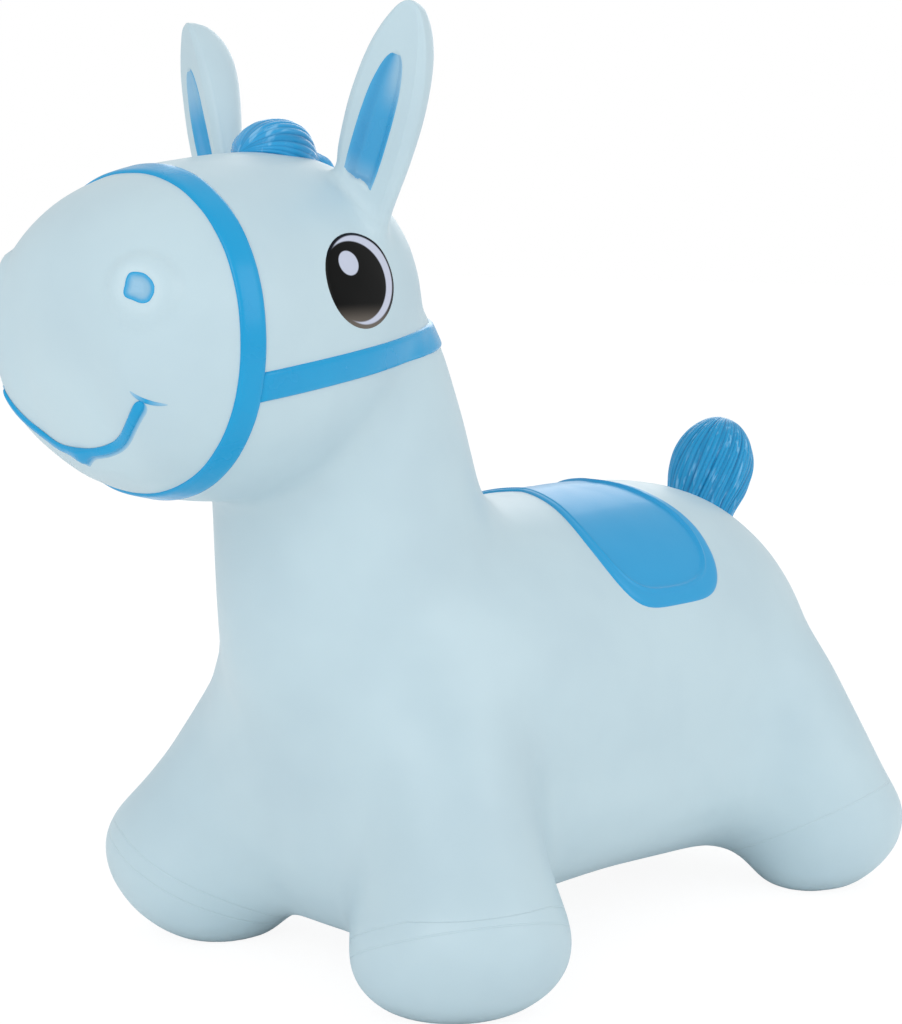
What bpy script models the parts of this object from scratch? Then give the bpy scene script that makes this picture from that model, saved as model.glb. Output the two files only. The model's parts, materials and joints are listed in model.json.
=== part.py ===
"""Inflatable bouncy ride-on animal in soft vinyl, with a saddle, a halter and a bung.

Metres, +Z up. The head points along -Y and +X is the animal's left. The skin is
one hollow blown shell on four legs. The halter, saddle, eyes, nostrils and mouth
are thin layers that follow it, cut from one film that wraps the whole skin, so
they keep lying on it when a size changes. The ears bend at a knuckle in the
head, and the bung pulls out of the belly.
"""
import math
import bpy
import bmesh
from mathutils import Matrix, Vector
from mathutils.bvhtree import BVHTree

MM = 0.001

# Vinyl and fits
WALL = 2.5 * MM
GAP = 0.3 * MM
LAYER = 1.6 * MM
OVERRUN = 30 * MM
MERGE_REACH = 0.01 * MM
SLIVER = 0.1 * MM
SORT_WAY = Vector((0.6, 0.48, 0.64))

# Fusing of the blocks: grid, the fillet that is left in the creases by swelling
# the form out and drawing it back, and the rounds of smoothing after it
FUSE_GRID = 6 * MM
BODY_FILLET = 22 * MM
SOFT_ROUND_COUNT = 12
SOFT_SWELL = 2 * MM
FACET_SHARE = 0.095
CAVITY_FACET_SHARE = 0.5
LOFT_SIDES = 12
ROUND_SIDES = 32

# Trunk, from the chest back
TRUNK_LENGTH = 412 * MM
TRUNK_WIDTH = 210 * MM
CHEST_REACH = 198 * MM
BACK_HEIGHT = 258 * MM
BELLY_HEIGHT = 32 * MM
# Rows: along the trunk from the chest, half width, top and bottom
TRUNK_SHARES = (
    (0.00, 0.56, 0.72, 0.10),
    (0.06, 0.86, 0.88, 0.00),
    (0.22, 0.98, 0.96, 0.00),
    (0.48, 1.00, 0.97, 0.00),
    (0.72, 0.99, 0.98, 0.00),
    (0.86, 0.91, 0.91, 0.00),
    (0.96, 0.68, 0.75, 0.06),
    (1.00, 0.45, 0.62, 0.18),
)

# Underbody, the flat belly between the legs
UNDERBODY_LENGTH = 370 * MM
UNDERBODY_WIDTH = 196 * MM
UNDERBODY_DEPTH = 110 * MM
UNDERBODY_SQUARENESS = 3.5
# Rows: along the underbody from its front, half width, half depth
UNDERBODY_SHARES = (
    (0.00, 0.80, 1.08),
    (0.10, 0.97, 1.22),
    (0.42, 0.98, 0.97),
    (0.75, 1.02, 1.17),
    (0.90, 0.97, 1.17),
    (1.00, 0.80, 0.90),
)

# Neck
NECK_WIDTH = 126 * MM
NECK_DEPTH = 152 * MM
NECK_BASE_HEIGHT = 110 * MM
NECK_TOP_HEIGHT = 390 * MM
NECK_REACH = 146 * MM
# Rows: up the neck, half width, half depth, and how far it leans forward
NECK_SHARES = (
    (0.00, 1.30, 1.15, -0.20),
    (0.30, 1.14, 1.08, -0.06),
    (0.60, 1.00, 1.00, 0.00),
    (0.82, 0.93, 0.90, 0.10),
    (1.00, 0.76, 0.74, 0.17),
)

# Head and muzzle
HEAD_LENGTH = 218 * MM
HEAD_WIDTH = 168 * MM
HEAD_DEPTH = 164 * MM
HEAD_HEIGHT = 360 * MM
MUZZLE_REACH = 343 * MM
HEAD_SQUARENESS = 2.2
# Rows: back along the head from the muzzle, half width, half depth, centre's rise
HEAD_SHARES = (
    (0.00, 0.42, 0.40, 0.01),
    (0.05, 0.71, 0.64, -0.02),
    (0.15, 0.93, 0.87, -0.02),
    (0.30, 1.00, 0.99, -0.015),
    (0.50, 0.95, 1.07, -0.02),
    (0.72, 0.88, 1.03, 0.03),
    (0.92, 0.66, 0.72, 0.06),
    (1.00, 0.40, 0.42, 0.03),
)

# Legs and hooves
TRACK = 216 * MM
WHEELBASE = 334 * MM
SIDE_SPLAY_SHARE = 0.45
END_SPLAY_SHARE = 0.32
LEG_LENGTH = 150 * MM
FRONT_HOOF_RADIUS = 59 * MM
REAR_HOOF_RADIUS = 51 * MM
HOOF_ROUND_SHARE = 0.62
SOLE_DEPTH = 8 * MM
# Rows: up the leg from the hoof's middle, radius
FRONT_LEG_SHARES = ((0.00, 1.00), (0.14, 0.90), (0.30, 0.80), (0.55, 0.76), (1.00, 0.72))
REAR_LEG_SHARES = ((0.00, 1.00), (0.26, 0.96), (0.55, 1.00), (1.00, 1.04))

# Nostrils: soft mounds on the muzzle, painted in the middle
NOSTRIL_SPREAD_SHARE = 0.36
NOSTRIL_LEVEL_SHARE = 0.134
NOSTRIL_TURN = math.radians(35)
NOSTRIL_LIFT = math.radians(18)
NOSTRIL_RADIUS = 8 * MM
MOUND_RADIUS = 20 * MM
MOUND_RISE = 3 * MM

# Mouth: a smile with a small lip at its middle
MOUTH_LEVEL_SHARE = -0.354
MOUTH_RADIUS = 62 * MM
MOUTH_SWEEP = math.radians(62)
MOUTH_BAND = 5 * MM
LIP_WIDTH = 23 * MM
LIP_DROP = 6 * MM
LIP_FLAT_SHARE = 0.45

# Eyes
EYE_ALONG_SHARE = 0.63
EYE_LEVEL_SHARE = 0.149
EYE_WIDTH = 56 * MM
EYE_TALL = 50 * MM
EYE_TURN = math.radians(8)
EYE_LIFT = math.radians(13)

# Halter: a band round the muzzle and a strap from it round the back of the head
STRAP_WIDTH = 15 * MM
NOSEBAND_ALONG_SHARE = 0.2385
HEADSTALL_LEVEL_SHARE = -0.1585
HEADSTALL_SLOPE_SHARE = 0.115

# Saddle: a squarish pad wrapped over the back
SADDLE_REACH = 22 * MM
SADDLE_LENGTH = 106 * MM
SADDLE_WRAP = math.radians(63)
SADDLE_SQUARENESS = 3.5
SADDLE_AXIS_HEIGHT = 145 * MM

# Ears, and the knuckle that each bends at
EAR_SPREAD_SHARE = 0.34
EAR_ALONG_SHARE = 0.72
EAR_TURN = math.radians(18)
EAR_SLOPE = math.radians(45)
EAR_TILT = math.radians(27)
EAR_LEAN = math.radians(3)
EAR_SWING = math.radians(16)
EAR_LENGTH = 111 * MM
EAR_WIDTH = 44 * MM
EAR_BACK = 24 * MM
EAR_FRONT = 5 * MM
KNUCKLE_RADIUS = 11.5 * MM
KNUCKLE_LENGTH = 34 * MM
KNUCKLE_SHIFT = 4 * MM
KNUCKLE_SINK = 6 * MM
# Rows: up the ear, half width, depth of the round back, depth of the flat front
EAR_SHARES = (
    (0.00, 0.78, 0.42, 0.90),
    (0.13, 0.88, 0.56, 1.00),
    (0.32, 1.00, 0.88, 1.00),
    (0.50, 1.02, 1.04, 1.00),
    (0.70, 0.92, 0.98, 0.95),
    (0.87, 0.64, 0.70, 0.80),
    (1.00, 0.24, 0.22, 0.40),
)
LINING_RECESS = 2.6 * MM
LINING_WIDTH = 21 * MM
LINING_START = 16 * MM
LINING_LENGTH = 66 * MM
# Rows: up the lining, half width
LINING_SHARES = (
    (0.00, 0.35), (0.12, 0.80), (0.35, 1.00), (0.62, 0.86), (0.86, 0.52), (1.00, 0.22),
)

# Forelock, a combed tuft between the ears
FORELOCK_ALONG_SHARE = 0.56
FORELOCK_LENGTH = 68 * MM
FORELOCK_WIDTH = 43 * MM
FORELOCK_RISE = 20.5 * MM
FORELOCK_SINK = 14 * MM
FORELOCK_RIDGE_COUNT = 8
# Rows: back along the tuft, half width, rise
FORELOCK_SHARES = (
    (0.00, 0.28, 0.16), (0.12, 0.74, 0.66), (0.34, 1.00, 1.00), (0.54, 0.80, 0.84),
    (0.70, 0.42, 0.30), (0.88, 0.34, 0.34), (1.00, 0.14, 0.10),
)

# Tail, a fat combed tuft on the rump
TAIL_PLACE = 169 * MM
TAIL_LENGTH = 64 * MM
TAIL_RADIUS = 26.5 * MM
TAIL_LEAN = math.radians(26)
TAIL_SINK = 14 * MM
TAIL_RIDGE_COUNT = 8
TAIL_TWIST = math.radians(24)
# Rows: up the tail, radius
TAIL_SHARES = (
    (0.00, 0.80), (0.22, 0.84), (0.42, 0.97), (0.58, 1.00), (0.76, 0.88), (0.91, 0.58),
    (1.00, 0.20),
)
RIDGE_SHARE = 0.06

# Bung and its seat in the belly
BUNG_PLACE = 10 * MM
BUNG_BORE_RADIUS = 4.5 * MM
BUNG_HEAD_RADIUS = 10 * MM
BUNG_HEAD_DEPTH = 2.4 * MM
BUNG_STEM_LENGTH = 13 * MM
BUNG_RIB = 0.5 * MM
BUNG_RIB_COUNT = 3
SEAT_RADIUS = 15 * MM
SEAT_DEPTH = 12 * MM

SKIN_BLUE = "#BCD3DC"
PAINT_BLUE = "#2F9BD6"
SADDLE_BLUE = "#4FA3D8"
EYE_BLACK = "#15171A"
BUNG_WHITE = "#E9EDEE"


def linear(code):
    """A hex sRGB colour as linear RGBA."""
    levels = [int(code[start:start + 2], 16) / 255 for start in (1, 3, 5)]
    return tuple(
        level / 12.92 if level <= 0.04045 else ((level + 0.055) / 1.055) ** 2.4
        for level in levels
    ) + (1,)


def vinyl(name, colour, roughness):
    """A Principled material; nothing on the toy is metal."""
    made = bpy.data.materials.new(name)
    made.use_nodes = True
    shader = made.node_tree.nodes["Principled BSDF"]
    shader.inputs["Base Color"].default_value = linear(colour)
    shader.inputs["Roughness"].default_value = roughness
    shader.inputs["Metallic"].default_value = 0
    return made


def new_collection(name):
    collection = bpy.data.collections.new(name)
    bpy.context.scene.collection.children.link(collection)
    return collection


def new_object(name, bm, collection):
    mesh = bpy.data.meshes.new(name)
    bm.to_mesh(mesh)
    bm.free()
    made = bpy.data.objects.new(name, mesh)
    collection.objects.link(made)
    return made


def new_part(name, bm, material):
    made = new_object(name, bm, PARTS)
    made.data.materials.append(material)
    return made


def new_cutter(name, bm):
    made = new_object(name, bm, CUTTERS)
    made.hide_render = True
    made.display_type = "WIRE"
    return made


def cut(made, cutter, operation="DIFFERENCE", crossing=False):
    """Cut by another object; crossing is for a cutter whose own faces may cross."""
    modifier = made.modifiers.new(cutter.name, "BOOLEAN")
    modifier.operation = operation
    modifier.object = cutter
    modifier.use_self = crossing


def settle(made):
    """Apply an object's modifiers."""
    bpy.context.view_layer.update()
    graph = bpy.context.evaluated_depsgraph_get()
    mesh = bpy.data.meshes.new_from_object(made.evaluated_get(graph))
    made.modifiers.clear()
    made.data = mesh


def join_slivers(made):
    """Apply the cuts, and join points that they left closer than a sliver.

    The points are sorted first, so that each run keeps the same ones.
    """
    settle(made)
    bm = bmesh.new()
    bm.from_mesh(made.data)
    bm.verts.sort(key=lambda vert: vert.co.dot(SORT_WAY))
    bmesh.ops.remove_doubles(bm, verts=bm.verts, dist=SLIVER)
    bmesh.ops.dissolve_degenerate(bm, edges=bm.edges, dist=SLIVER)
    bm.to_mesh(made.data)
    bm.free()


def smooth_cage(made, levels):
    modifier = made.modifiers.new("round", "SUBSURF")
    modifier.levels = modifier.render_levels = levels


def shade(made):
    for face in made.data.polygons:
        face.use_smooth = True
    made.data.set_sharp_from_angle(angle=math.radians(40))


def grown(form, width):
    """A copy of a form's mesh as a bmesh, moved out by a width along its normals."""
    bm = bmesh.new()
    bm.from_mesh(form.data)
    bm.normal_update()
    moves = [(vert, vert.normal * width) for vert in bm.verts]
    for vert, move in moves:
        vert.co += move
    return bm


def cage_share(sides):
    """How far a smoothed cage's corners lie outside the round that it makes."""
    return 3 / (2 + math.cos(2 * math.pi / sides))


def section(bm, centre, axis, half_width, half_depth, square=2):
    """One ring of a loft, at right angles to its axis; square is 2 on an oval."""
    axis = Vector(axis).normalized()
    across = (Vector((1, 0, 0)) - axis * axis.x).normalized()
    swell = cage_share(LOFT_SIDES)
    place = Matrix((across * half_width * swell, axis.cross(across) * half_depth * swell, axis))
    place = place.transposed().to_4x4()
    place.translation = centre
    ring = bmesh.ops.create_circle(bm, segments=LOFT_SIDES, radius=1)["verts"]
    for vert in ring:
        vert.co *= (abs(vert.co.x) ** square + abs(vert.co.y) ** square) ** (-1 / square)
    bmesh.ops.transform(bm, matrix=place, verts=ring)
    return ring


def edges_of(ring):
    """The edges of a ring of vertices, always in the same order."""
    return list(dict.fromkeys(edge for vert in ring for edge in vert.link_edges))


def join_rings(bm, rings):
    """Bridge rings of vertices into one closed block."""
    loops = [edges_of(ring) for ring in rings]
    for low, high in zip(loops, loops[1:]):
        bmesh.ops.bridge_loops(bm, edges=low + high)
    for end in (loops[0], loops[-1]):
        bmesh.ops.edgeloop_fill(bm, edges=end)


def loft(bm, sections, square=2):
    join_rings(bm, [section(bm, *each, square) for each in sections])


def add_trunk(bm):
    depth = BACK_HEIGHT - BELLY_HEIGHT
    loft(bm, [
        (
            Vector((0, along * TRUNK_LENGTH - CHEST_REACH,
                    BELLY_HEIGHT + (top + bottom) / 2 * depth)),
            (0, 1, 0), wide * TRUNK_WIDTH / 2, (top - bottom) / 2 * depth,
        )
        for along, wide, top, bottom in TRUNK_SHARES
    ])


def add_underbody(bm):
    middle = BELLY_HEIGHT + UNDERBODY_DEPTH / 2
    loft(bm, [
        (
            Vector((0, (along - 0.5) * UNDERBODY_LENGTH, middle)), (0, 1, 0),
            wide * UNDERBODY_WIDTH / 2, deep * UNDERBODY_DEPTH / 2,
        )
        for along, wide, deep in UNDERBODY_SHARES
    ], UNDERBODY_SQUARENESS)


def add_neck(bm):
    rise = NECK_TOP_HEIGHT - NECK_BASE_HEIGHT
    loft(bm, [
        (
            Vector((0, -NECK_REACH - lean * NECK_DEPTH, NECK_BASE_HEIGHT + up * rise)),
            (0, 0, 1), wide * NECK_WIDTH / 2, deep * NECK_DEPTH / 2,
        )
        for up, wide, deep, lean in NECK_SHARES
    ])


def add_head(bm):
    loft(bm, [
        (
            Vector((0, along * HEAD_LENGTH - MUZZLE_REACH, HEAD_HEIGHT + lift * HEAD_DEPTH)),
            (0, 1, 0), wide * HEAD_WIDTH / 2, deep * HEAD_DEPTH / 2,
        )
        for along, wide, deep, lift in HEAD_SHARES
    ], HEAD_SQUARENESS)


def add_leg(bm, end, hoof_radius, shares):
    """A splayed leg; end is -1 at the head and 1 at the tail. Returns its hoof's place."""
    axis = Vector((-SIDE_SPLAY_SHARE, -end * END_SPLAY_SHARE, 1)).normalized()
    round_height = HOOF_ROUND_SHARE * hoof_radius
    lean = math.sqrt(1 - axis.z ** 2)
    drop = math.hypot(hoof_radius * lean, round_height * axis.z)
    hoof = Vector((TRACK / 2, end * WHEELBASE / 2, drop - SOLE_DEPTH))
    loft(bm, [
        (hoof + axis * up * LEG_LENGTH, axis, wide * hoof_radius, wide * hoof_radius)
        for up, wide in shares
    ])
    turn = axis.to_track_quat("Z", "Y").to_matrix().to_4x4()
    size = Matrix.Diagonal((hoof_radius, hoof_radius, round_height, 1))
    return Matrix.Translation(hoof) @ turn @ size


def add_ball(bm, place):
    bmesh.ops.create_uvsphere(bm, u_segments=ROUND_SIDES, v_segments=ROUND_SIDES // 2,
                              radius=1, matrix=place)


def mirrored(form):
    both = form.modifiers.new("both sides", "MIRROR")
    both.use_bisect_axis = (True, False, False)
    both.use_clip = True
    both.merge_threshold = MERGE_REACH


def fuse(form):
    grid = form.modifiers.new("fuse", "REMESH")
    grid.mode = "VOXEL"
    grid.voxel_size = FUSE_GRID


def soften(form):
    blend = form.modifiers.new("blend", "SMOOTH")
    blend.iterations = SOFT_ROUND_COUNT


def swell(form, width):
    out = form.modifiers.new("swell", "DISPLACE")
    out.strength = width
    out.mid_level = 0


def thin(form, share):
    fewer = form.modifiers.new("fewer facets", "DECIMATE")
    fewer.ratio = share
    fewer.use_symmetry = True


def drop_folds(bm):
    """Remove the pairs of facets that thinning folded flat onto each other."""
    found = {}
    for face in bm.faces:
        found.setdefault(frozenset(face.verts), []).append(face)
    folds = [face for faces in found.values() if len(faces) > 1 for face in faces]
    bmesh.ops.delete(bm, geom=folds, context="FACES")


def body_block():
    """Trunk, underbody, neck and legs in one, with wide fillets."""
    bm = bmesh.new()
    add_trunk(bm)
    add_underbody(bm)
    add_neck(bm)
    hooves = [
        add_leg(bm, -1, FRONT_HOOF_RADIUS, FRONT_LEG_SHARES),
        add_leg(bm, 1, REAR_HOOF_RADIUS, REAR_LEG_SHARES),
    ]
    bmesh.ops.recalc_face_normals(bm, faces=bm.faces)
    block = new_cutter("body_block", bm)
    smooth_cage(block, 2)
    settle(block)
    bm = bmesh.new()
    bm.from_mesh(block.data)
    for hoof in hooves:
        add_ball(bm, hoof)
    bm.to_mesh(block.data)
    bm.free()
    mirrored(block)
    fuse(block)
    swell(block, BODY_FILLET)
    fuse(block)
    soften(block)
    swell(block, -BODY_FILLET)
    settle(block)
    return block


def head_block():
    bm = bmesh.new()
    add_head(bm)
    bmesh.ops.recalc_face_normals(bm, faces=bm.faces)
    block = new_cutter("head_block", bm)
    smooth_cage(block, 2)
    settle(block)
    return block


def skin_form():
    """The outer form of the skin, closed and flat under the hooves."""
    blocks = [body_block(), head_block()]
    head = tree_of(blocks[1])
    bm = bmesh.new()
    for block in blocks:
        bm.from_mesh(block.data)
    for side in (-1, 1):
        place = nostril_place(head, side)
        size = Matrix.Diagonal((MOUND_RADIUS, MOUND_RADIUS, MOUND_RADIUS, 1))
        add_ball(bm, place @ Matrix.Translation((0, 0, MOUND_RISE - MOUND_RADIUS)) @ size)
    form = new_cutter("skin_form", bm)
    for block in blocks:
        bpy.data.objects.remove(block, do_unlink=True)
    fuse(form)
    soften(form)
    swell(form, SOFT_SWELL)
    thin(form, FACET_SHARE)
    settle(form)
    bm = bmesh.new()
    bm.from_mesh(form.data)
    drop_folds(bm)
    geometry = bm.verts[:] + bm.edges[:] + bm.faces[:]
    found = bmesh.ops.bisect_plane(bm, geom=geometry, plane_co=(0, 0, 0), plane_no=(0, 0, 1),
                                   clear_inner=True)
    rims = [item for item in found["geom_cut"] if isinstance(item, bmesh.types.BMEdge)]
    bmesh.ops.edgeloop_fill(bm, edges=rims)
    bm.to_mesh(form.data)
    bm.free()
    return form


def tree_of(made):
    bm = bmesh.new()
    bm.from_mesh(made.data)
    tree = BVHTree.FromBMesh(bm)
    bm.free()
    return tree


def point_on(tree, start, way):
    """The first point of a form that is met from a start along a way."""
    return tree.ray_cast(Vector(start), Vector(way).normalized())[0]


def facing(point, turn, lift, side):
    """A place at a point of the left side, or its mirror image, whose Z looks out.

    It looks along -Y, turned outward and lifted.
    """
    return (
        Matrix.Translation((side * point.x, point.y, point.z))
        @ Matrix.Rotation(side * turn, 4, "Z") @ Matrix.Rotation(math.pi / 2 - lift, 4, "X")
    )


def along_head(share):
    """How far along Y a share of the head's length lies, from the muzzle back."""
    return share * HEAD_LENGTH - MUZZLE_REACH


def up_head(share):
    """The height of a share of the head's depth above its middle."""
    return HEAD_HEIGHT + share * HEAD_DEPTH


def nostril_place(tree, side):
    start = (NOSTRIL_SPREAD_SHARE * HEAD_WIDTH, -MUZZLE_REACH - OVERRUN,
             up_head(NOSTRIL_LEVEL_SHARE))
    return facing(point_on(tree, start, (0, 1, 0)), NOSTRIL_TURN, NOSTRIL_LIFT, side)


def eye_place(tree, side):
    start = (HEAD_WIDTH + OVERRUN, along_head(EYE_ALONG_SHARE), up_head(EYE_LEVEL_SHARE))
    turn = math.pi / 2 + EYE_TURN
    return facing(point_on(tree, start, (-1, 0, 0)), turn, EYE_LIFT, side)


def ear_place(tree, side):
    """The knuckle's place: X along the hinge, Y back and Z out of the head."""
    start = (EAR_SPREAD_SHARE * HEAD_WIDTH, along_head(EAR_ALONG_SHARE), up_head(1))
    point = point_on(tree, start, (0, 0, -1))
    return (
        Matrix.Translation((side * point.x, point.y, point.z))
        @ Matrix.Rotation(side * EAR_TURN, 4, "Z") @ Matrix.Rotation(side * EAR_SLOPE, 4, "Y")
        @ Matrix.Translation((0, 0, -KNUCKLE_SINK))
    )


def add_cylinder(bm, place, radius, low, high):
    """A cylinder along its place's Z, from low to high."""
    middle = Matrix.Translation((0, 0, (low + high) / 2))
    bmesh.ops.create_cone(bm, cap_ends=True, segments=ROUND_SIDES, radius1=radius,
                          radius2=radius, depth=high - low, matrix=place @ middle)


def knuckle(bm, place, side, margin):
    """A spindle turned about its place's X, wider all round by a margin."""
    shift = Matrix.Translation((-side * KNUCKLE_SHIFT, 0, 0))
    turn = Matrix.Rotation(math.pi / 2, 4, "Y")
    radius = KNUCKLE_RADIUS + margin
    size = Matrix.Diagonal((radius, radius, KNUCKLE_LENGTH / 2 + margin, 1))
    bmesh.ops.create_uvsphere(bm, u_segments=ROUND_SIDES // 2, v_segments=ROUND_SIDES // 4,
                              radius=1, matrix=place @ shift @ turn @ size)


def film_mesh(form):
    """The layer that wraps the whole skin: its outer side, and its inner side turned in."""
    film = grown(form, GAP + LAYER)
    inner = grown(form, GAP)
    bmesh.ops.reverse_faces(inner, faces=inner.faces)
    turned = bpy.data.meshes.new("film_inside")
    inner.to_mesh(turned)
    inner.free()
    film.from_mesh(turned)
    return film


def patch(name, film, cutter, material):
    """The piece of the film inside a cutter."""
    bm = bmesh.new()
    bm.from_mesh(film.data)
    made = new_part(name, bm, material)
    cut(made, cutter, "INTERSECT")
    return made


def make_skin(form, tree):
    """The hollow shell: form less cavity, with a pocket for each ear and a seat for the bung."""
    skin = new_part("body_skin", grown(form, 0), SKIN)
    cavity = new_cutter("cavity", grown(form, -WALL))
    thin(cavity, CAVITY_FACET_SHARE)
    seat = Matrix.Translation(point_on(tree, (0, BUNG_PLACE, 0), (0, 0, 1)))
    sockets = []
    for side, name in SIDES:
        bm = bmesh.new()
        place = ear_place(tree, side)
        knuckle(bm, place, side, GAP + WALL)
        cut(cavity, new_cutter("ear_pocket_" + name, bm))
        bm = bmesh.new()
        knuckle(bm, place, side, GAP)
        sockets.append(new_cutter("ear_socket_" + name, bm))
    bm = bmesh.new()
    add_cylinder(bm, seat, SEAT_RADIUS, -OVERRUN, SEAT_DEPTH)
    cut(cavity, new_cutter("bung_seat", bm))
    bm = bmesh.new()
    add_cylinder(bm, seat, BUNG_HEAD_RADIUS + GAP, -OVERRUN, BUNG_HEAD_DEPTH + GAP)
    recess = new_cutter("bung_recess", bm)
    bm = bmesh.new()
    add_cylinder(bm, seat, BUNG_BORE_RADIUS, -OVERRUN, SEAT_DEPTH + OVERRUN)
    bore = new_cutter("bung_bore", bm)
    cut(skin, cavity, crossing=True)
    for cutter in [*sockets, recess, bore]:
        cut(skin, cutter)
    join_slivers(skin)
    return seat


def make_bung(seat):
    """A turned plug: head, ribbed stem and blunt end, on the seat's axis."""
    radius = BUNG_BORE_RADIUS - GAP
    rib_pitch = BUNG_STEM_LENGTH / (BUNG_RIB_COUNT + 1)
    stem = [(0, BUNG_HEAD_DEPTH + BUNG_STEM_LENGTH), (radius - 2 * BUNG_RIB,
                                                      BUNG_HEAD_DEPTH + BUNG_STEM_LENGTH)]
    for number in range(BUNG_RIB_COUNT, 0, -1):
        level = BUNG_HEAD_DEPTH + number * rib_pitch
        stem += [(radius - BUNG_RIB, level + BUNG_RIB), (radius, level),
                 (radius - BUNG_RIB, level - BUNG_RIB)]
    head = [(radius - BUNG_RIB, BUNG_HEAD_DEPTH), (BUNG_HEAD_RADIUS - BUNG_RIB, BUNG_HEAD_DEPTH),
            (BUNG_HEAD_RADIUS, BUNG_HEAD_DEPTH - BUNG_RIB), (BUNG_HEAD_RADIUS, BUNG_RIB),
            (BUNG_HEAD_RADIUS - BUNG_RIB, 0), (0, 0)]
    bm = bmesh.new()
    verts = [bm.verts.new((x, 0, z)) for x, z in stem + head]
    for first, second in zip(verts, verts[1:]):
        bm.edges.new((first, second))
    bung = new_part("valve_bung", bm, BUNG)
    turn = bung.modifiers.new("turn", "SCREW")
    turn.steps = turn.render_steps = ROUND_SIDES // 2
    turn.use_merge_vertices = True
    turn.merge_threshold = MERGE_REACH
    settle(bung)
    bung.matrix_world = seat


def ear_ring(bm, up, wide, back, front):
    """A flat-fronted ring of the ear, in its blade's own place."""
    ring = bmesh.ops.create_circle(bm, segments=LOFT_SIDES, radius=cage_share(LOFT_SIDES))["verts"]
    for vert in ring:
        depth = back * EAR_BACK if vert.co.y > 0 else front * EAR_FRONT
        squared = max(-1, min(1, 2 * vert.co.y)) if vert.co.y < 0 else vert.co.y
        vert.co = (vert.co.x * wide * EAR_WIDTH / 2, squared * depth, up * EAR_LENGTH)
    return ring


def lining_prism(low, high, margin):
    """A leaf-shaped prism on the ear's front, between two depths, wider by a margin."""
    bm = bmesh.new()
    right = []
    left = []
    for up, wide in LINING_SHARES:
        level = LINING_START + up * LINING_LENGTH + (2 * up - 1) * margin
        reach = wide * LINING_WIDTH / 2 + margin
        right.append(bm.verts.new((reach, low, level)))
        left.append(bm.verts.new((-reach, low, level)))
    face = bm.faces.new(right + left[::-1])
    grown_faces = bmesh.ops.extrude_face_region(bm, geom=[face])["geom"]
    moved = [item for item in grown_faces if isinstance(item, bmesh.types.BMVert)]
    bmesh.ops.translate(bm, verts=moved, vec=(0, high - low, 0))
    bmesh.ops.recalc_face_normals(bm, faces=bm.faces)
    return bm


def make_ear(tree, clear, side, name):
    """A leaf on a knuckle, hollowed for its lining and cut clear of the head as it swings."""
    place = ear_place(tree, side)
    blade = Matrix.Rotation(-side * EAR_TILT, 4, "Y") @ Matrix.Rotation(EAR_LEAN, 4, "X")
    bm = bmesh.new()
    join_rings(bm, [ear_ring(bm, *row) for row in EAR_SHARES])
    bmesh.ops.recalc_face_normals(bm, faces=bm.faces)
    ear = new_part("ear_" + name, bm, SKIN)
    smooth_cage(ear, 1)
    settle(ear)
    front = -EAR_FRONT
    recess = new_cutter("lining_recess_" + name,
                        lining_prism(front - OVERRUN, front + LINING_RECESS, GAP))
    cut(ear, recess)
    settle(ear)
    ear.data.transform(blade)
    for swing in (-EAR_SWING, 0, EAR_SWING):
        bm = bmesh.new()
        bm.from_mesh(clear.data)
        bm.transform((place @ Matrix.Rotation(swing, 4, "X")).inverted())
        cut(ear, new_cutter("head_clear_" + name, bm))
    settle(ear)
    bm = bmesh.new()
    knuckle(bm, Matrix.Identity(4), side, 0)
    root = new_cutter("knuckle_" + name, bm)
    cut(ear, root, "UNION")
    settle(ear)
    join_slivers(ear)
    ear.matrix_world = place
    bm = lining_prism(front, front + LINING_RECESS - GAP, 0)
    lining = new_part("ear_lining_" + name, bm, PAINT)
    lining.data.transform(blade)
    lining.parent = ear


def ridged_ring(bm, place, half_width, half_depth, ridges, twist=0):
    """A ring with combed ridges round it."""
    sides = 2 * ridges
    ring = bmesh.ops.create_circle(bm, segments=sides, radius=1)["verts"]
    for number, vert in enumerate(ring):
        angle = 2 * math.pi * number / sides + twist
        reach = 1 + RIDGE_SHARE * (number % 2)
        vert.co = (reach * half_width * math.cos(angle), reach * half_depth * math.sin(angle), 0)
    bmesh.ops.transform(bm, matrix=place, verts=ring)
    return ring


def make_tuft(name, rings_of, clear):
    """A tuft of ridged rings, seated on the skin by cutting the skin's space out of it."""
    bm = bmesh.new()
    join_rings(bm, rings_of(bm))
    bmesh.ops.recalc_face_normals(bm, faces=bm.faces)
    tuft = new_part(name, bm, PAINT)
    smooth_cage(tuft, 1)
    cut(tuft, clear)


def make_forelock(tree, clear):
    front = along_head(FORELOCK_ALONG_SHARE)
    top = point_on(tree, (0, front + FORELOCK_LENGTH / 2, up_head(1)), (0, 0, -1)).z

    def rings(bm):
        return [
            ridged_ring(
                bm,
                Matrix.Translation((0, front + along * FORELOCK_LENGTH, top - FORELOCK_SINK / 2))
                @ Matrix.Rotation(math.pi / 2, 4, "X"),
                wide * FORELOCK_WIDTH / 2, rise * FORELOCK_RISE + FORELOCK_SINK / 2,
                FORELOCK_RIDGE_COUNT,
            )
            for along, wide, rise in FORELOCK_SHARES
        ]

    make_tuft("forelock", rings, clear)


def make_tail(tree, clear):
    root = point_on(tree, (0, TAIL_PLACE, BACK_HEIGHT + OVERRUN), (0, 0, -1))
    axis = Matrix.Translation(root) @ Matrix.Rotation(-TAIL_LEAN, 4, "X")
    whole = TAIL_LENGTH + TAIL_SINK

    def rings(bm):
        return [
            ridged_ring(
                bm, axis @ Matrix.Translation((0, 0, up * whole - TAIL_SINK)),
                wide * TAIL_RADIUS, wide * TAIL_RADIUS, TAIL_RIDGE_COUNT, up * TAIL_TWIST,
            )
            for up, wide in TAIL_SHARES
        ]

    make_tuft("tail", rings, clear)


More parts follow.
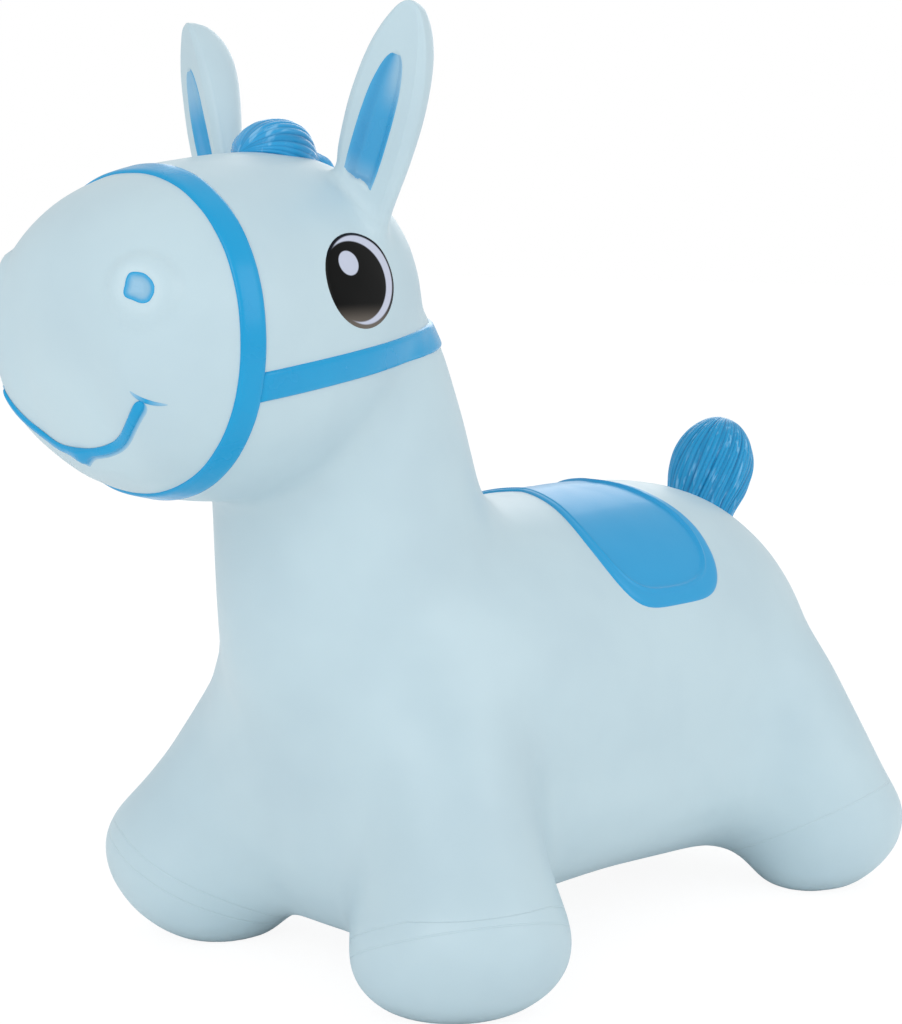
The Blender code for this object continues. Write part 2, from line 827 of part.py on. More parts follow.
def make_saddle(film):
    """Cut by a wedge that opens upward from the trunk's axis, so its edges stand square."""
    bm = bmesh.new()
    rings = []
    for height in (WALL, BACK_HEIGHT - SADDLE_AXIS_HEIGHT + OVERRUN):
        ring = bmesh.ops.create_circle(bm, segments=2 * ROUND_SIDES, radius=1)["verts"]
        for vert in ring:
            across = math.copysign(abs(vert.co.x) ** (2 / SADDLE_SQUARENESS), vert.co.x)
            along = math.copysign(abs(vert.co.y) ** (2 / SADDLE_SQUARENESS), vert.co.y)
            vert.co = (
                height * math.tan(across * SADDLE_WRAP),
                (along + 1) * SADDLE_LENGTH / 2 - SADDLE_REACH,
                SADDLE_AXIS_HEIGHT + height,
            )
        rings.append(ring)
    join_rings(bm, rings)
    bmesh.ops.recalc_face_normals(bm, faces=bm.faces)
    patch("saddle", film, new_cutter("saddle_outline", bm), SADDLE)


def make_noseband(film):
    bm = bmesh.new()
    size = Matrix.Diagonal((HEAD_WIDTH + 2 * OVERRUN, STRAP_WIDTH, HEAD_DEPTH + 2 * OVERRUN, 1))
    middle = Vector((0, along_head(NOSEBAND_ALONG_SHARE) + STRAP_WIDTH / 2, HEAD_HEIGHT))
    bmesh.ops.create_cube(bm, size=1, matrix=Matrix.Translation(middle) @ size)
    patch("noseband", film, new_cutter("noseband_slab", bm), PAINT)


def make_headstall(film):
    """A rising slab behind the noseband, round the back of the head."""
    bm = bmesh.new()
    start = along_head(NOSEBAND_ALONG_SHARE) + STRAP_WIDTH + GAP
    reach = MUZZLE_REACH
    size = Matrix.Diagonal((HEAD_WIDTH + 2 * OVERRUN, reach, STRAP_WIDTH, 1))
    middle = Matrix.Translation((0, start + reach / 2, up_head(HEADSTALL_LEVEL_SHARE)))
    bmesh.ops.create_cube(bm, size=1, matrix=middle @ size)
    for vert in bm.verts:
        vert.co.z += HEADSTALL_SLOPE_SHARE * (vert.co.y - start)
    patch("headstall", film, new_cutter("headstall_slab", bm), PAINT)


def make_eye(film, tree, side, name):
    bm = bmesh.new()
    shape = Matrix.Diagonal((EYE_WIDTH / 2, EYE_TALL / 2, 1, 1))
    add_cylinder(bm, eye_place(tree, side) @ shape, 1, -OVERRUN, OVERRUN)
    patch("eye_" + name, film, new_cutter("eye_outline_" + name, bm), EYE)


def make_nostril(film, tree, side, name):
    bm = bmesh.new()
    add_cylinder(bm, nostril_place(tree, side), NOSTRIL_RADIUS, -OVERRUN / 2, OVERRUN)
    patch("nostril_" + name, film, new_cutter("nostril_outline_" + name, bm), PAINT)


def make_mouth(film):
    """A band bent to a smile, with a lip at its middle, cut through the muzzle's front."""
    bm = bmesh.new()
    centre = up_head(MOUTH_LEVEL_SHARE) + MOUTH_RADIUS
    outer = []
    inner = []
    for number in range(ROUND_SIDES + 1):
        angle = (2 * number / ROUND_SIDES - 1) * MOUTH_SWEEP
        lip = max(0, 1 - abs(math.sin(angle) * MOUTH_RADIUS) / (LIP_WIDTH / 2))
        lip = min(1, lip / (1 - LIP_FLAT_SHARE)) * LIP_DROP
        for row, reach in ((outer, MOUTH_RADIUS + MOUTH_BAND / 2 + lip),
                           (inner, MOUTH_RADIUS - MOUTH_BAND / 2)):
            row.append(bm.verts.new((
                reach * math.sin(angle), -MUZZLE_REACH - OVERRUN, centre - reach * math.cos(angle),
            )))
    face = bm.faces.new(outer + inner[::-1])
    grown_faces = bmesh.ops.extrude_face_region(bm, geom=[face])["geom"]
    moved = [item for item in grown_faces if isinstance(item, bmesh.types.BMVert)]
    bmesh.ops.translate(bm, verts=moved, vec=(0, 2 * OVERRUN + HEAD_LENGTH / 4, 0))
    bmesh.ops.recalc_face_normals(bm, faces=bm.faces)
    patch("mouth", film, new_cutter("mouth_outline", bm), PAINT)


def stand_on_origin():
    """Carry everything by an empty that puts the middle of the base on the origin."""
    bpy.context.view_layer.update()
    graph = bpy.context.evaluated_depsgraph_get()
    low = [math.inf] * 3
    high = [-math.inf] * 3
    for part in PARTS.objects:
        shown = part.evaluated_get(graph)
        for vert in shown.data.vertices:
            point = shown.matrix_world @ vert.co
            low = [min(pair) for pair in zip(low, point)]
            high = [max(pair) for pair in zip(high, point)]
    stand = bpy.data.objects.new("stand", None)
    PARTS.objects.link(stand)
    for made in [*PARTS.objects, *CUTTERS.objects]:
        if made.parent is None and made is not stand:
            made.parent = stand
    stand.location = (-(low[0] + high[0]) / 2, -(low[1] + high[1]) / 2, -low[2])


for old in list(bpy.data.objects):
    bpy.data.objects.remove(old, do_unlink=True)
PARTS = new_collection("bouncy_ride_on_animal")
CUTTERS = new_collection("cutters")
SIDES = ((1, "left"), (-1, "right"))
SKIN = vinyl("satin vinyl", SKIN_BLUE, 0.42)
PAINT = vinyl("gloss blue paint", PAINT_BLUE, 0.22)
SADDLE = vinyl("saddle blue paint", SADDLE_BLUE, 0.3)
EYE = vinyl("eye print", EYE_BLACK, 0.15)
BUNG = vinyl("bung vinyl", BUNG_WHITE, 0.4)

skin_shape = skin_form()
skin_tree = tree_of(skin_shape)
skin_film = new_cutter("skin_film", film_mesh(skin_shape))
skin_clear = new_cutter("skin_clear", grown(skin_shape, GAP))
bung_seat = make_skin(skin_shape, skin_tree)
make_bung(bung_seat)
make_saddle(skin_film)
make_noseband(skin_film)
make_headstall(skin_film)
make_mouth(skin_film)
for ear_side, side_name in SIDES:
    make_ear(skin_tree, skin_clear, ear_side, side_name)
    make_eye(skin_film, skin_tree, ear_side, side_name)
    make_nostril(skin_film, skin_tree, ear_side, side_name)
make_forelock(skin_tree, skin_clear)
make_tail(skin_tree, skin_clear)
for finished in PARTS.objects:
    shade(finished)
stand_on_origin()
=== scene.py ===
import json
import math

import bmesh
import bpy
from mathutils import Matrix, Vector
from mathutils.bvhtree import BVHTree
from mathutils.interpolate import poly_3d_calc


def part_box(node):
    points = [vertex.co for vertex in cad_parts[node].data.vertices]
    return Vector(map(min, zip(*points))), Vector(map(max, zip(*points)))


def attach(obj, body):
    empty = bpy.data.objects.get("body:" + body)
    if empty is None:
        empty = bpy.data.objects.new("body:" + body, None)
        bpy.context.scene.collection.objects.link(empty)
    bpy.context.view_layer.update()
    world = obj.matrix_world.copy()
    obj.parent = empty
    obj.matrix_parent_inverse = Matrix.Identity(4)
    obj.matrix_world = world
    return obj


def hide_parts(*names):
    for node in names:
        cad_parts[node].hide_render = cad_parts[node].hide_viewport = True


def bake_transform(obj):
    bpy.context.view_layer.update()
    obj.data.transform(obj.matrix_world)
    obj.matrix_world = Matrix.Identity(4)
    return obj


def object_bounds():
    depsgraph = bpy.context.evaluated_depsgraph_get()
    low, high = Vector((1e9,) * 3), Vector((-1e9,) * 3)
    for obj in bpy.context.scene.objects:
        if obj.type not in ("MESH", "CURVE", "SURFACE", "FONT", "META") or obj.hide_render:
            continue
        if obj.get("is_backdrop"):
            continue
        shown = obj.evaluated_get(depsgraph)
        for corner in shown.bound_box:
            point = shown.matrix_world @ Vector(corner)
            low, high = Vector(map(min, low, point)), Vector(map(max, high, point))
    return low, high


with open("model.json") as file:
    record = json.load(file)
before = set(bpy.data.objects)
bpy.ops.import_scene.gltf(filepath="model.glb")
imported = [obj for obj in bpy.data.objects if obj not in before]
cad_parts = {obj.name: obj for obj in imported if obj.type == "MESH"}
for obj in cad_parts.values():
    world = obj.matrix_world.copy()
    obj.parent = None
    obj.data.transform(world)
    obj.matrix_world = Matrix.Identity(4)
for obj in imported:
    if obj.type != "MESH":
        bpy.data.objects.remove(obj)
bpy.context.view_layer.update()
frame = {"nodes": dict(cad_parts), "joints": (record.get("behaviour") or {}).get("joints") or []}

MM = 0.001

# Camera
# It stands in front of the animal's left shoulder, a little above the saddle, and
# looks down at it through a long lens, as a catalogue photograph is taken.
CAMERA_PLACE = (0.862, -0.882, 0.410)
CAMERA_AZIMUTH = math.radians(44.32)
CAMERA_PITCH = math.radians(7.55)
CAMERA_LENS = 75.6
CAMERA_SENSOR = 36

camera = bpy.data.objects.new("camera", bpy.data.cameras.new("camera"))
bpy.context.scene.collection.objects.link(camera)
camera.location = CAMERA_PLACE
camera.rotation_euler = (math.pi / 2 - CAMERA_PITCH, 0, CAMERA_AZIMUTH)
camera.data.lens = CAMERA_LENS
camera.data.sensor_width = CAMERA_SENSOR
bpy.context.scene.camera = camera

# Skin
# The toy is one soft PVC shell, rotation moulded, in a pale satin blue. It has no
# hard edge anywhere, only wide fillets where legs, neck and ears grow out of it.
# The CAD shell's outside is copied, closed, fused with the ears and smoothed.
SKIN_GRID = 2.8 * MM
SKIN_ROUNDS = 34
SKIN_SWELL = 0.9 * MM
SHARP = math.radians(60)
WELD = 0.01 * MM
# Across and along to each hoof's middle, and the way square to its mould lines
HOOVES = {
    "front_hoof": (0.108, -0.102, (-0.43, 0.22, 1)),
    "rear_hoof": (0.108, 0.232, (-0.50, -0.15, 1)),
}
HOOF_REACH = 82 * MM
HOOF_FADE = 5


def new_piece(name, bm, body, slot, *nodes, material=None):
    """A finished bmesh as a piece that rides on a body and stands for CAD nodes."""
    mesh = bpy.data.meshes.new(name)
    bm.to_mesh(mesh)
    bm.free()
    if material:
        mesh.materials.append(material)
    piece = bpy.data.objects.new(name, mesh)
    bpy.context.scene.collection.objects.link(piece)
    for face in mesh.polygons:
        face.use_smooth = True
    if body:
        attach(piece, body)
    if nodes:
        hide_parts(*nodes)
    return piece


def applied(piece):
    """Apply the modifiers of a piece."""
    bpy.context.view_layer.update()
    shown = piece.evaluated_get(bpy.context.evaluated_depsgraph_get())
    mesh = bpy.data.meshes.new_from_object(shown)
    piece.modifiers.clear()
    piece.data = mesh


def outside_of(node):
    """The outside of a CAD node, without what lies behind a sharp rim, closed again."""
    bm = bmesh.new()
    bm.from_mesh(frame["nodes"][node].data)
    bmesh.ops.remove_doubles(bm, verts=bm.verts, dist=WELD)
    first = min(bm.faces, key=lambda face: face.calc_center_median().y)
    found = {first}
    front = [first]
    while front:
        face = front.pop()
        for edge in face.edges:
            if len(edge.link_faces) == 2 and edge.calc_face_angle() < SHARP:
                for other in edge.link_faces:
                    if other not in found:
                        found.add(other)
                        front.append(other)
    hidden = [face for face in bm.faces if face not in found]
    bmesh.ops.delete(bm, geom=hidden, context="FACES")
    rims = [edge for edge in bm.edges if edge.is_boundary]
    bmesh.ops.holes_fill(bm, edges=rims)
    bmesh.ops.recalc_face_normals(bm, faces=bm.faces)
    return bm


# Ears
# Each ear is a tall leaf, flat in front and round behind, which leans outward and
# grows out of the head on a soft root. A rough leaf is fused with the skin to shape
# that root, and the ear itself is then lofted finely, from the root to its round tip.
EAR_TILT = math.radians(27)
EAR_LEAN = math.radians(3)
EAR_LENGTH = 113 * MM
EAR_WIDTH = 42.5 * MM
EAR_BACK = 24 * MM
EAR_FRONT = 4.5 * MM
EAR_FLAT = 1.6
EAR_SIDES = 32
EAR_CUT = 9 * MM
# Rows: up the ear, half width, depth of the round back, depth of the flat front
EAR_ROWS = (
    (-0.08, 0.82, 0.50, 1.10), (0.00, 0.82, 0.50, 1.00), (0.13, 0.88, 0.50, 1.00),
    (0.32, 0.96, 0.68, 1.00), (0.50, 0.98, 0.84, 1.00), (0.66, 0.90, 0.94, 0.90),
    (0.78, 0.77, 0.94, 0.80), (0.87, 0.60, 0.84, 0.65), (0.93, 0.44, 0.68, 0.50),
    (0.97, 0.30, 0.50, 0.40), (0.99, 0.18, 0.30, 0.30), (1.00, 0.07, 0.12, 0.15),
)


def hinge_place(joint):
    """The ear's root: X along the hinge, Y back and Z out of the head."""
    across = Vector(joint["axis"]).normalized()
    back = Vector((0, 0, 1)).cross(across).normalized()
    place = Matrix((across, back, across.cross(back))).transposed().to_4x4()
    place.translation = Vector(joint["pos_m"])
    return place


def ear_blade(place, side):
    """The leaf's own place in the ear: Z up the leaf and Y towards its round back."""
    turn = Matrix.Rotation(-side * EAR_TILT, 4, "Y") @ Matrix.Rotation(EAR_LEAN, 4, "X")
    return place @ turn


def edges_of(ring):
    """The edges of a ring of vertices, always in the same order."""
    return list(dict.fromkeys(edge for vert in ring for edge in vert.link_edges))


def bridged(bm, rings, *closed):
    """Bridge rings of vertices, and fill the ones named as closed."""
    loops = [edges_of(ring) for ring in rings]
    for low, high in zip(loops, loops[1:]):
        bmesh.ops.bridge_loops(bm, edges=low + high)
    for end in closed:
        bmesh.ops.edgeloop_fill(bm, edges=loops[end])
    bmesh.ops.recalc_face_normals(bm, faces=bm.faces)


def eased(share):
    """From 0 to 1 without a corner at either end."""
    share = max(0, min(1, share))
    return share * share * (3 - 2 * share)


def ramp(value, start, end):
    """0 up to the start and 1 from the end on, eased between them."""
    return eased((value - start) / (end - start))


def shares_at(rows, along):
    """The values of a table of shares at a place along it, on a smooth curve."""
    along = max(rows[0][0], min(rows[-1][0], along))
    index = max(number for number in range(len(rows) - 1) if rows[number][0] <= along)
    low, high = rows[index], rows[index + 1]
    before, after = rows[max(index - 1, 0)], rows[min(index + 2, len(rows) - 1)]
    span = high[0] - low[0]
    mix = (along - low[0]) / span
    found = []
    for column in range(1, len(low)):
        leave = (high[column] - before[column]) / (high[0] - before[0]) * span
        arrive = (after[column] - low[column]) / (after[0] - low[0]) * span
        found.append(
            low[column] + (high[column] - low[column]) * eased(mix)
            + leave * mix * (1 - mix) ** 2 - arrive * mix ** 2 * (1 - mix)
        )
    return found


def turn_of(vert):
    """The angle of a vertex round a new circle."""
    return math.atan2(vert.co.y, vert.co.x)


def leaf_point(turn, level):
    """A point round the leaf at a height up it, in the leaf's own place."""
    wide, back, front = shares_at(EAR_ROWS, level / EAR_LENGTH)
    if math.sin(turn) > 0:
        depth = math.sin(turn) * back * EAR_BACK
    else:
        depth = max(-1, EAR_FLAT * math.sin(turn)) * front * EAR_FRONT
    return Vector((math.cos(turn) * wide * EAR_WIDTH / 2, depth, level))


joints = {joint["name"]: joint for joint in frame["joints"]}
ears = {
    "left": (1, hinge_place(joints["ear_left_flex"])),
    "right": (-1, hinge_place(joints["ear_right_flex"])),
}
whole = outside_of("body_skin")
for side, place in ears.values():
    blade = ear_blade(place, side)
    leaf = bmesh.new()
    rings = []
    for row in EAR_ROWS:
        ring = bmesh.ops.create_circle(leaf, segments=EAR_SIDES, radius=1)["verts"]
        for vert in ring:
            vert.co = blade @ leaf_point(turn_of(vert), row[0] * EAR_LENGTH)
        rings.append(ring)
    bridged(leaf, rings, 0, -1)
    mesh = bpy.data.meshes.new("leaf")
    leaf.to_mesh(mesh)
    leaf.free()
    whole.from_mesh(mesh)
skin = new_piece("whole_skin", whole, None, None)
fused = skin.modifiers.new("fused", "REMESH")
fused.mode = "VOXEL"
fused.voxel_size = SKIN_GRID
even = skin.modifiers.new("even", "SMOOTH")
even.iterations = SKIN_ROUNDS
swell = skin.modifiers.new("swell", "DISPLACE")
swell.strength = SKIN_SWELL
swell.mid_level = 0
applied(skin)

# The bung's seat and bore are cut into the belly.
BUNG_HEAD_RADIUS = 10 * MM
BUNG_HEAD_DEPTH = 2.4 * MM
BUNG_STEM_RADIUS = 4.2 * MM
BUNG_PLAY = 0.3 * MM
BUNG_SIDES = 96
SEAT_OVERRUN = 60 * MM

bung_low, bung_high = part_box("valve_bung")
bung_centre = Vector(((bung_low.x + bung_high.x) / 2, (bung_low.y + bung_high.y) / 2, 0))
for radius, low_end, high_end in (
    (BUNG_HEAD_RADIUS + BUNG_PLAY, bung_low.z - SEAT_OVERRUN,
     bung_low.z + BUNG_HEAD_DEPTH + BUNG_PLAY),
    (BUNG_STEM_RADIUS + BUNG_PLAY, bung_low.z, bung_high.z + BUNG_PLAY),
):
    bore = bmesh.new()
    middle = bung_centre + Vector((0, 0, (low_end + high_end) / 2))
    bmesh.ops.create_cone(bore, cap_ends=True, segments=BUNG_SIDES, radius1=radius, radius2=radius,
                          depth=high_end - low_end, matrix=Matrix.Translation(middle))
    cutter = new_piece("seat_cutter", bore, None, None)
    drilled = skin.modifiers.new("seat", "BOOLEAN")
    drilled.object = cutter
    drilled.solver = "EXACT"
    applied(skin)
    bpy.data.objects.remove(cutter, do_unlink=True)

whole = bmesh.new()
whole.from_mesh(skin.data)
bpy.data.objects.remove(skin, do_unlink=True)
# The soles are flat on the floor, and the muzzle draws in below, round the smile.
MUZZLE_DRAW = 7.5 * MM
MUZZLE_START = -200 * MM
MUZZLE_END = -240 * MM
MUZZLE_FLAT = 25 * MM
MUZZLE_SIDE = 56 * MM
# Rows: height in metres, share of the draw
MUZZLE_ROWS = (
    (0.278, 0.0), (0.292, 0.4), (0.306, 0.85), (0.320, 1.0), (0.335, 0.9), (0.350, 0.55),
    (0.365, 0.2), (0.380, 0.0),
)
for vert in whole.verts:
    vert.co.z = max(vert.co.z, 0)
    if vert.co.y < MUZZLE_START:
        share = ramp(vert.co.y, MUZZLE_START, MUZZLE_END)
        share *= ramp(abs(vert.co.x), MUZZLE_SIDE, MUZZLE_FLAT)
        vert.co.y += MUZZLE_DRAW * share * shares_at(MUZZLE_ROWS, vert.co.z)[0]
whole_tree = BVHTree.FromBMesh(whole)

# The nostrils are shallow dishes on low round mounds.
NOSTRIL_SPREAD = 58.3 * MM
NOSTRIL_HEIGHT = 381.9 * MM
NOSTRIL_TURN = math.radians(35)
NOSTRIL_LIFT = math.radians(18)
NOSTRIL_RADIUS = 8 * MM
NOSTRIL_DISH = 2.4 * MM
DISH_REACH = 1.25
MUZZLE_CAST = 500 * MM
MOUND_REACH = 20 * MM
MOUND_TOP = 14 * MM
MOUND_RISE = 2.4 * MM
# Rows: share of a turn from the outer side, reach of the outline
NOSTRIL_ROWS = (
    (0.00, 0.92), (0.13, 0.83), (0.22, 0.90), (0.29, 1.00), (0.355, 1.16), (0.41, 1.08),
    (0.48, 0.98), (0.575, 1.10), (0.68, 0.90), (0.83, 1.08), (0.90, 1.02), (1.00, 0.92),
)


def facing(point, turn, lift, side):
    """A place at a point whose Z looks out of the face, turned outward and lifted."""
    return (Matrix.Translation(point) @ Matrix.Rotation(side * turn, 4, "Z")
            @ Matrix.Rotation(math.pi / 2 - lift, 4, "X"))


def nostril_reach(point, side):
    """How far the nostril's outline is from its middle, towards a point."""
    turn = math.atan2(point.y, side * point.x) / (2 * math.pi) % 1
    return NOSTRIL_RADIUS * shares_at(NOSTRIL_ROWS, turn)[0]


def cast(tree, start, way):
    """Where a ray meets a surface, and the surface's normal there."""
    return tree.ray_cast(start, way)[:2]


nostrils = {}
for name, (side, place) in ears.items():
    start = Vector((side * NOSTRIL_SPREAD, -MUZZLE_CAST, NOSTRIL_HEIGHT))
    hit, normal = cast(whole_tree, start, Vector((0, 1, 0)))
    nostrils[name] = facing(hit, NOSTRIL_TURN, NOSTRIL_LIFT, side)
    into = nostrils[name].inverted()
    outward = nostrils[name].to_3x3() @ Vector((0, 0, 1))
    for vert in whole.verts:
        point = into @ vert.co
        away = math.hypot(point.x, point.y)
        if away < MOUND_REACH and abs(point.z) < MOUND_REACH:
            mound = ramp(away, MOUND_REACH, MOUND_TOP)
            dish = eased(DISH_REACH - away / nostril_reach(point, side))
            vert.co += outward * (MOUND_RISE * mound - NOSTRIL_DISH * dish)
whole_tree = BVHTree.FromBMesh(whole)

# Skin and ears meet on a plane just above each root. They keep the shading of the
# whole there, so that no line shows.
planes = {
    name: (place @ Vector((0, 0, EAR_CUT)), place.to_3x3() @ Vector((0, 0, 1)))
    for name, (side, place) in ears.items()
}
for point, way in planes.values():
    geometry = whole.verts[:] + whole.edges[:] + whole.faces[:]
    bmesh.ops.bisect_plane(whole, geom=geometry, plane_co=point, plane_no=way, dist=WELD)
whole.normal_update()
kept_normal = whole.verts.layers.float_vector.new("kept_normal")
hoof_levels = {name: whole.verts.layers.float.new(name) for name in HOOVES}
for vert in whole.verts:
    if any(abs((vert.co - point).dot(way)) < SKIN_GRID / 4 for point, way in planes.values()):
        vert[kept_normal] = vert.normal
    for name, (across, along, axis) in HOOVES.items():
        away = Vector((abs(vert.co.x) - across, vert.co.y - along, vert.co.z))
        far = max(0, away.length - HOOF_REACH)
        vert[hoof_levels[name]] = away.dot(Vector(axis).normalized()) + HOOF_FADE * far
whole.faces.index_update()
whole.faces.ensure_lookup_table()
whole_tree = BVHTree.FromBMesh(whole)


def shaded(piece):
    """Give a piece the normals that it keeps of the whole."""
    piece.data.set_sharp_from_angle(angle=SHARP)
    normals = [item.vector[:] for item in piece.data.attributes["kept_normal"].data]
    piece.data.normals_split_custom_set_from_vertices(normals)
    piece.data.attributes.remove(piece.data.attributes["kept_normal"])


def whole_normal(point):
    """The smooth normal of the whole at the point nearest to this one."""
    hit, normal, index = whole_tree.find_nearest(point)[:3]
    corners = whole.faces[index].verts[:]
    shares = poly_3d_calc([vert.co for vert in corners], hit)
    mean = Vector()
    for vert, share in zip(corners, shares):
        mean += vert.normal * share
    return mean.normalized()


# The hollow in the front of each ear is a long leaf with a cut-off foot, a little
# inward of the ear's middle. It is deepest low down, and its foot is a short step.
LINING_START = 20 * MM
LINING_LENGTH = 67 * MM
LINING_WIDTH = 21 * MM
LINING_SHIFT = 2.7 * MM
LINING_LEAN = 3.6 * MM
LINING_SLANT = 3 * MM
LINING_HOLLOW = 5.2 * MM
LINING_WALL = 6.5 * MM
LINING_STEP = 2.6 * MM
LINING_WAVE = 0.8 * MM
# Rows: up the lining, half width, depth
LINING_ROWS = (
    (0.00, 0.90, 1.00), (0.12, 0.96, 1.00), (0.30, 0.98, 1.00), (0.50, 0.96, 0.92),
    (0.70, 0.87, 0.76), (0.84, 0.70, 0.58), (0.92, 0.54, 0.42), (0.97, 0.36, 0.26),
    (0.99, 0.22, 0.15), (1.00, 0.02, 0.05),
)


def lining_foot(across):
    """The height of the hollow's foot, lower at its outer end and a little wavy."""
    return LINING_START - LINING_SLANT * across + LINING_WAVE * math.sin(4 * across)


def lining_depth(point, side):
    """How deep the hollow is at a point of the ear's front."""
    along = (point.z - LINING_START) / LINING_LENGTH
    middle = side * point.x + LINING_SHIFT - LINING_LEAN * along
    if point.y > 0 or along > 1:
        return 0
    wide, deep = shares_at(LINING_ROWS, along)
    reach = wide * LINING_WIDTH / 2
    across = max(-1, min(1, middle / max(reach, MM)))
    wall = eased((reach - abs(middle)) / (LINING_WALL * wide))
    step = eased((point.z - lining_foot(across)) / LINING_STEP)
    return LINING_HOLLOW * deep * wall * step


EAR_FINE_SIDES = 176
EAR_RINGS = 96
EAR_FIT = 26 * MM
EAR_CAST = 60 * MM
EAR_TUCK = 1.6 * MM
EAR_TUCK_SHARE = 0.06
EAR_SPACING = 1.35
EAR_SETTLES = 4
ear_pieces = {}
for name, (side, place) in ears.items():
    blade = ear_blade(place, side)
    into = blade.inverted()
    cut_point = into @ planes[name][0]
    cut_way = into.to_3x3() @ planes[name][1]
    root_level = cut_point.dot(cut_way) / cut_way.z
    leaf = bmesh.new()
    kept_normal = leaf.verts.layers.float_vector.new("kept_normal")
    rings = []
    for number in range(EAR_RINGS + 1):
        share = 1 - (1 - number / EAR_RINGS) ** EAR_SPACING
        level = root_level + (EAR_LENGTH - root_level) * share
        fit = eased((level - root_level) / EAR_FIT)
        way = cut_way.lerp(Vector((0, 0, 1)), fit)
        centre = Vector((0, 0, level))
        ring = bmesh.ops.create_circle(leaf, segments=EAR_FINE_SIDES, radius=1)["verts"]
        for vert in ring:
            turn = turn_of(vert)
            point = leaf_point(turn, level)
            for settle in range(EAR_SETTLES):
                height = level - (way.x * point.x + way.y * point.y) / way.z
                point = leaf_point(turn, height)
            out = point - centre
            if fit < 1:
                ray = out.normalized()
                hit, normal = cast(
                    whole_tree, blade @ (centre + ray * EAR_CAST), -(blade.to_3x3() @ ray))
                reach = (into @ hit - centre).length
                out = ray * (reach + (out.length - reach) * fit)
            point = centre + out
            point.y += lining_depth(point, side)
            vert.co = blade @ point
            if number == 0:
                vert[kept_normal] = whole_normal(vert.co)
        rings.append(ring)
    tuck = bmesh.ops.create_circle(leaf, segments=EAR_FINE_SIDES, radius=1)["verts"]
    root_centre = blade @ Vector((0, 0, root_level))
    for vert, above in zip(tuck, rings[0]):
        vert.co = above.co.lerp(root_centre, EAR_TUCK_SHARE) - planes[name][1] * EAR_TUCK
        vert[kept_normal] = above[kept_normal]
    bridged(leaf, [tuck] + rings, 0, -1)
    ear = new_piece("ear_" + name + "_leaf", leaf, None, "skin", "ear_" + name)
    shaded(ear)
    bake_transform(ear)
    ear_pieces[name] = ear

beyond_root = [
    face for face in whole.faces
    if any((face.calc_center_median() - point).dot(way) > 0 for point, way in planes.values())
]
skin_mesh = whole.copy()
skin_mesh.faces.ensure_lookup_table()
bmesh.ops.delete(skin_mesh, geom=[skin_mesh.faces[face.index] for face in beyond_root],
                 context="FACES")
skin = new_piece("skin", skin_mesh, "skin", "skin", "body_skin")
shaded(skin)


def linear(code):
    """A hex sRGB colour as linear RGBA."""
    levels = [int(code[start:start + 2], 16) / 255 for start in (1, 3, 5)]
    return tuple(
        level / 12.92 if level <= 0.04045 else ((level + 0.055) / 1.055) ** 2.4
        for level in levels
    ) + (1,)


def add_node(material, kind, inputs=(), **settings):
    """Add a node; each input is a value, or the output of another node to link."""
    made = material.node_tree.nodes.new(kind)
    for name, value in settings.items():
        setattr(made, name, value)
    for key, value in dict(inputs).items():
        if isinstance(value, bpy.types.NodeSocket):
            material.node_tree.links.new(value, made.inputs[key])
        else:
            made.inputs[key].default_value = value
    return made


def new_material(name):
    """A material with no shader yet, and the socket that gives Object coordinates."""
    material = bpy.data.materials.new(name)
    material.use_nodes = True
    material.node_tree.nodes.clear()
    place = add_node(material, "ShaderNodeTexCoord")
    return material, place.outputs["Object"]


def across_mm(size):
    """A noise scale for features of a size in millimetres."""
    return 1 / (size * MM)


# Rotation-moulded PVC: satin, faintly cloudy in its colour, with a soft orange peel
# and two fine mould steps round each hoof. The soles are scuffed a little duller.
SKIN_BLUE = "#C1D8E1"
SKIN_CLOUD = "#BBD2DC"
SOLE_GREY = "#A9BAC0"
CLOUD_SIZE = 70
PEEL_SIZE = 2.2
WAVE_SIZE = 28
SCUFF_SIZE = 4
SCUFF_HEIGHT = 16 * MM
HOOF_STEPS = (("front_hoof", 44.5 * MM), ("front_hoof", 35.2 * MM), ("rear_hoof", 41.6 * MM))
STEP_WIDTH = 0.9 * MM

vinyl, spot = new_material("rotation moulded PVC")
cloud = add_node(vinyl, "ShaderNodeTexNoise",
                 {"Vector": spot, "Scale": across_mm(CLOUD_SIZE), "Detail": 3, "Roughness": 0.5})
clouded = add_node(vinyl, "ShaderNodeMapRange",
                   {"Value": cloud.outputs[0], "From Min": 0.35, "From Max": 0.7})
tint = add_node(vinyl, "ShaderNodeMix", {
    "Factor": clouded.outputs[0], 6: linear(SKIN_BLUE), 7: linear(SKIN_CLOUD),
}, data_type="RGBA")
height = add_node(vinyl, "ShaderNodeSeparateXYZ", {0: spot})
scuff_noise = add_node(vinyl, "ShaderNodeTexNoise",
                       {"Vector": spot, "Scale": across_mm(SCUFF_SIZE), "Detail": 5,
                        "Roughness": 0.7})
scuff_height = add_node(vinyl, "ShaderNodeMapRange", {
    "Value": height.outputs["Z"], "From Max": SCUFF_HEIGHT, "To Min": 0.75, "To Max": 0,
})
scuff = add_node(vinyl, "ShaderNodeMath",
                 {0: scuff_noise.outputs[0], 1: scuff_height.outputs[0]}, operation="MULTIPLY")
colour = add_node(vinyl, "ShaderNodeMix", {
    "Factor": scuff.outputs[0], 6: tint.outputs[2], 7: linear(SOLE_GREY),
}, data_type="RGBA")
peel = add_node(vinyl, "ShaderNodeTexNoise",
                {"Vector": spot, "Scale": across_mm(PEEL_SIZE), "Detail": 2})
wave = add_node(vinyl, "ShaderNodeTexNoise",
                {"Vector": spot, "Scale": across_mm(WAVE_SIZE), "Detail": 1})
satin = add_node(vinyl, "ShaderNodeMapRange", {
    "Value": cloud.outputs[0], "From Min": 0.3, "From Max": 0.7, "To Min": 0.38, "To Max": 0.47,
})
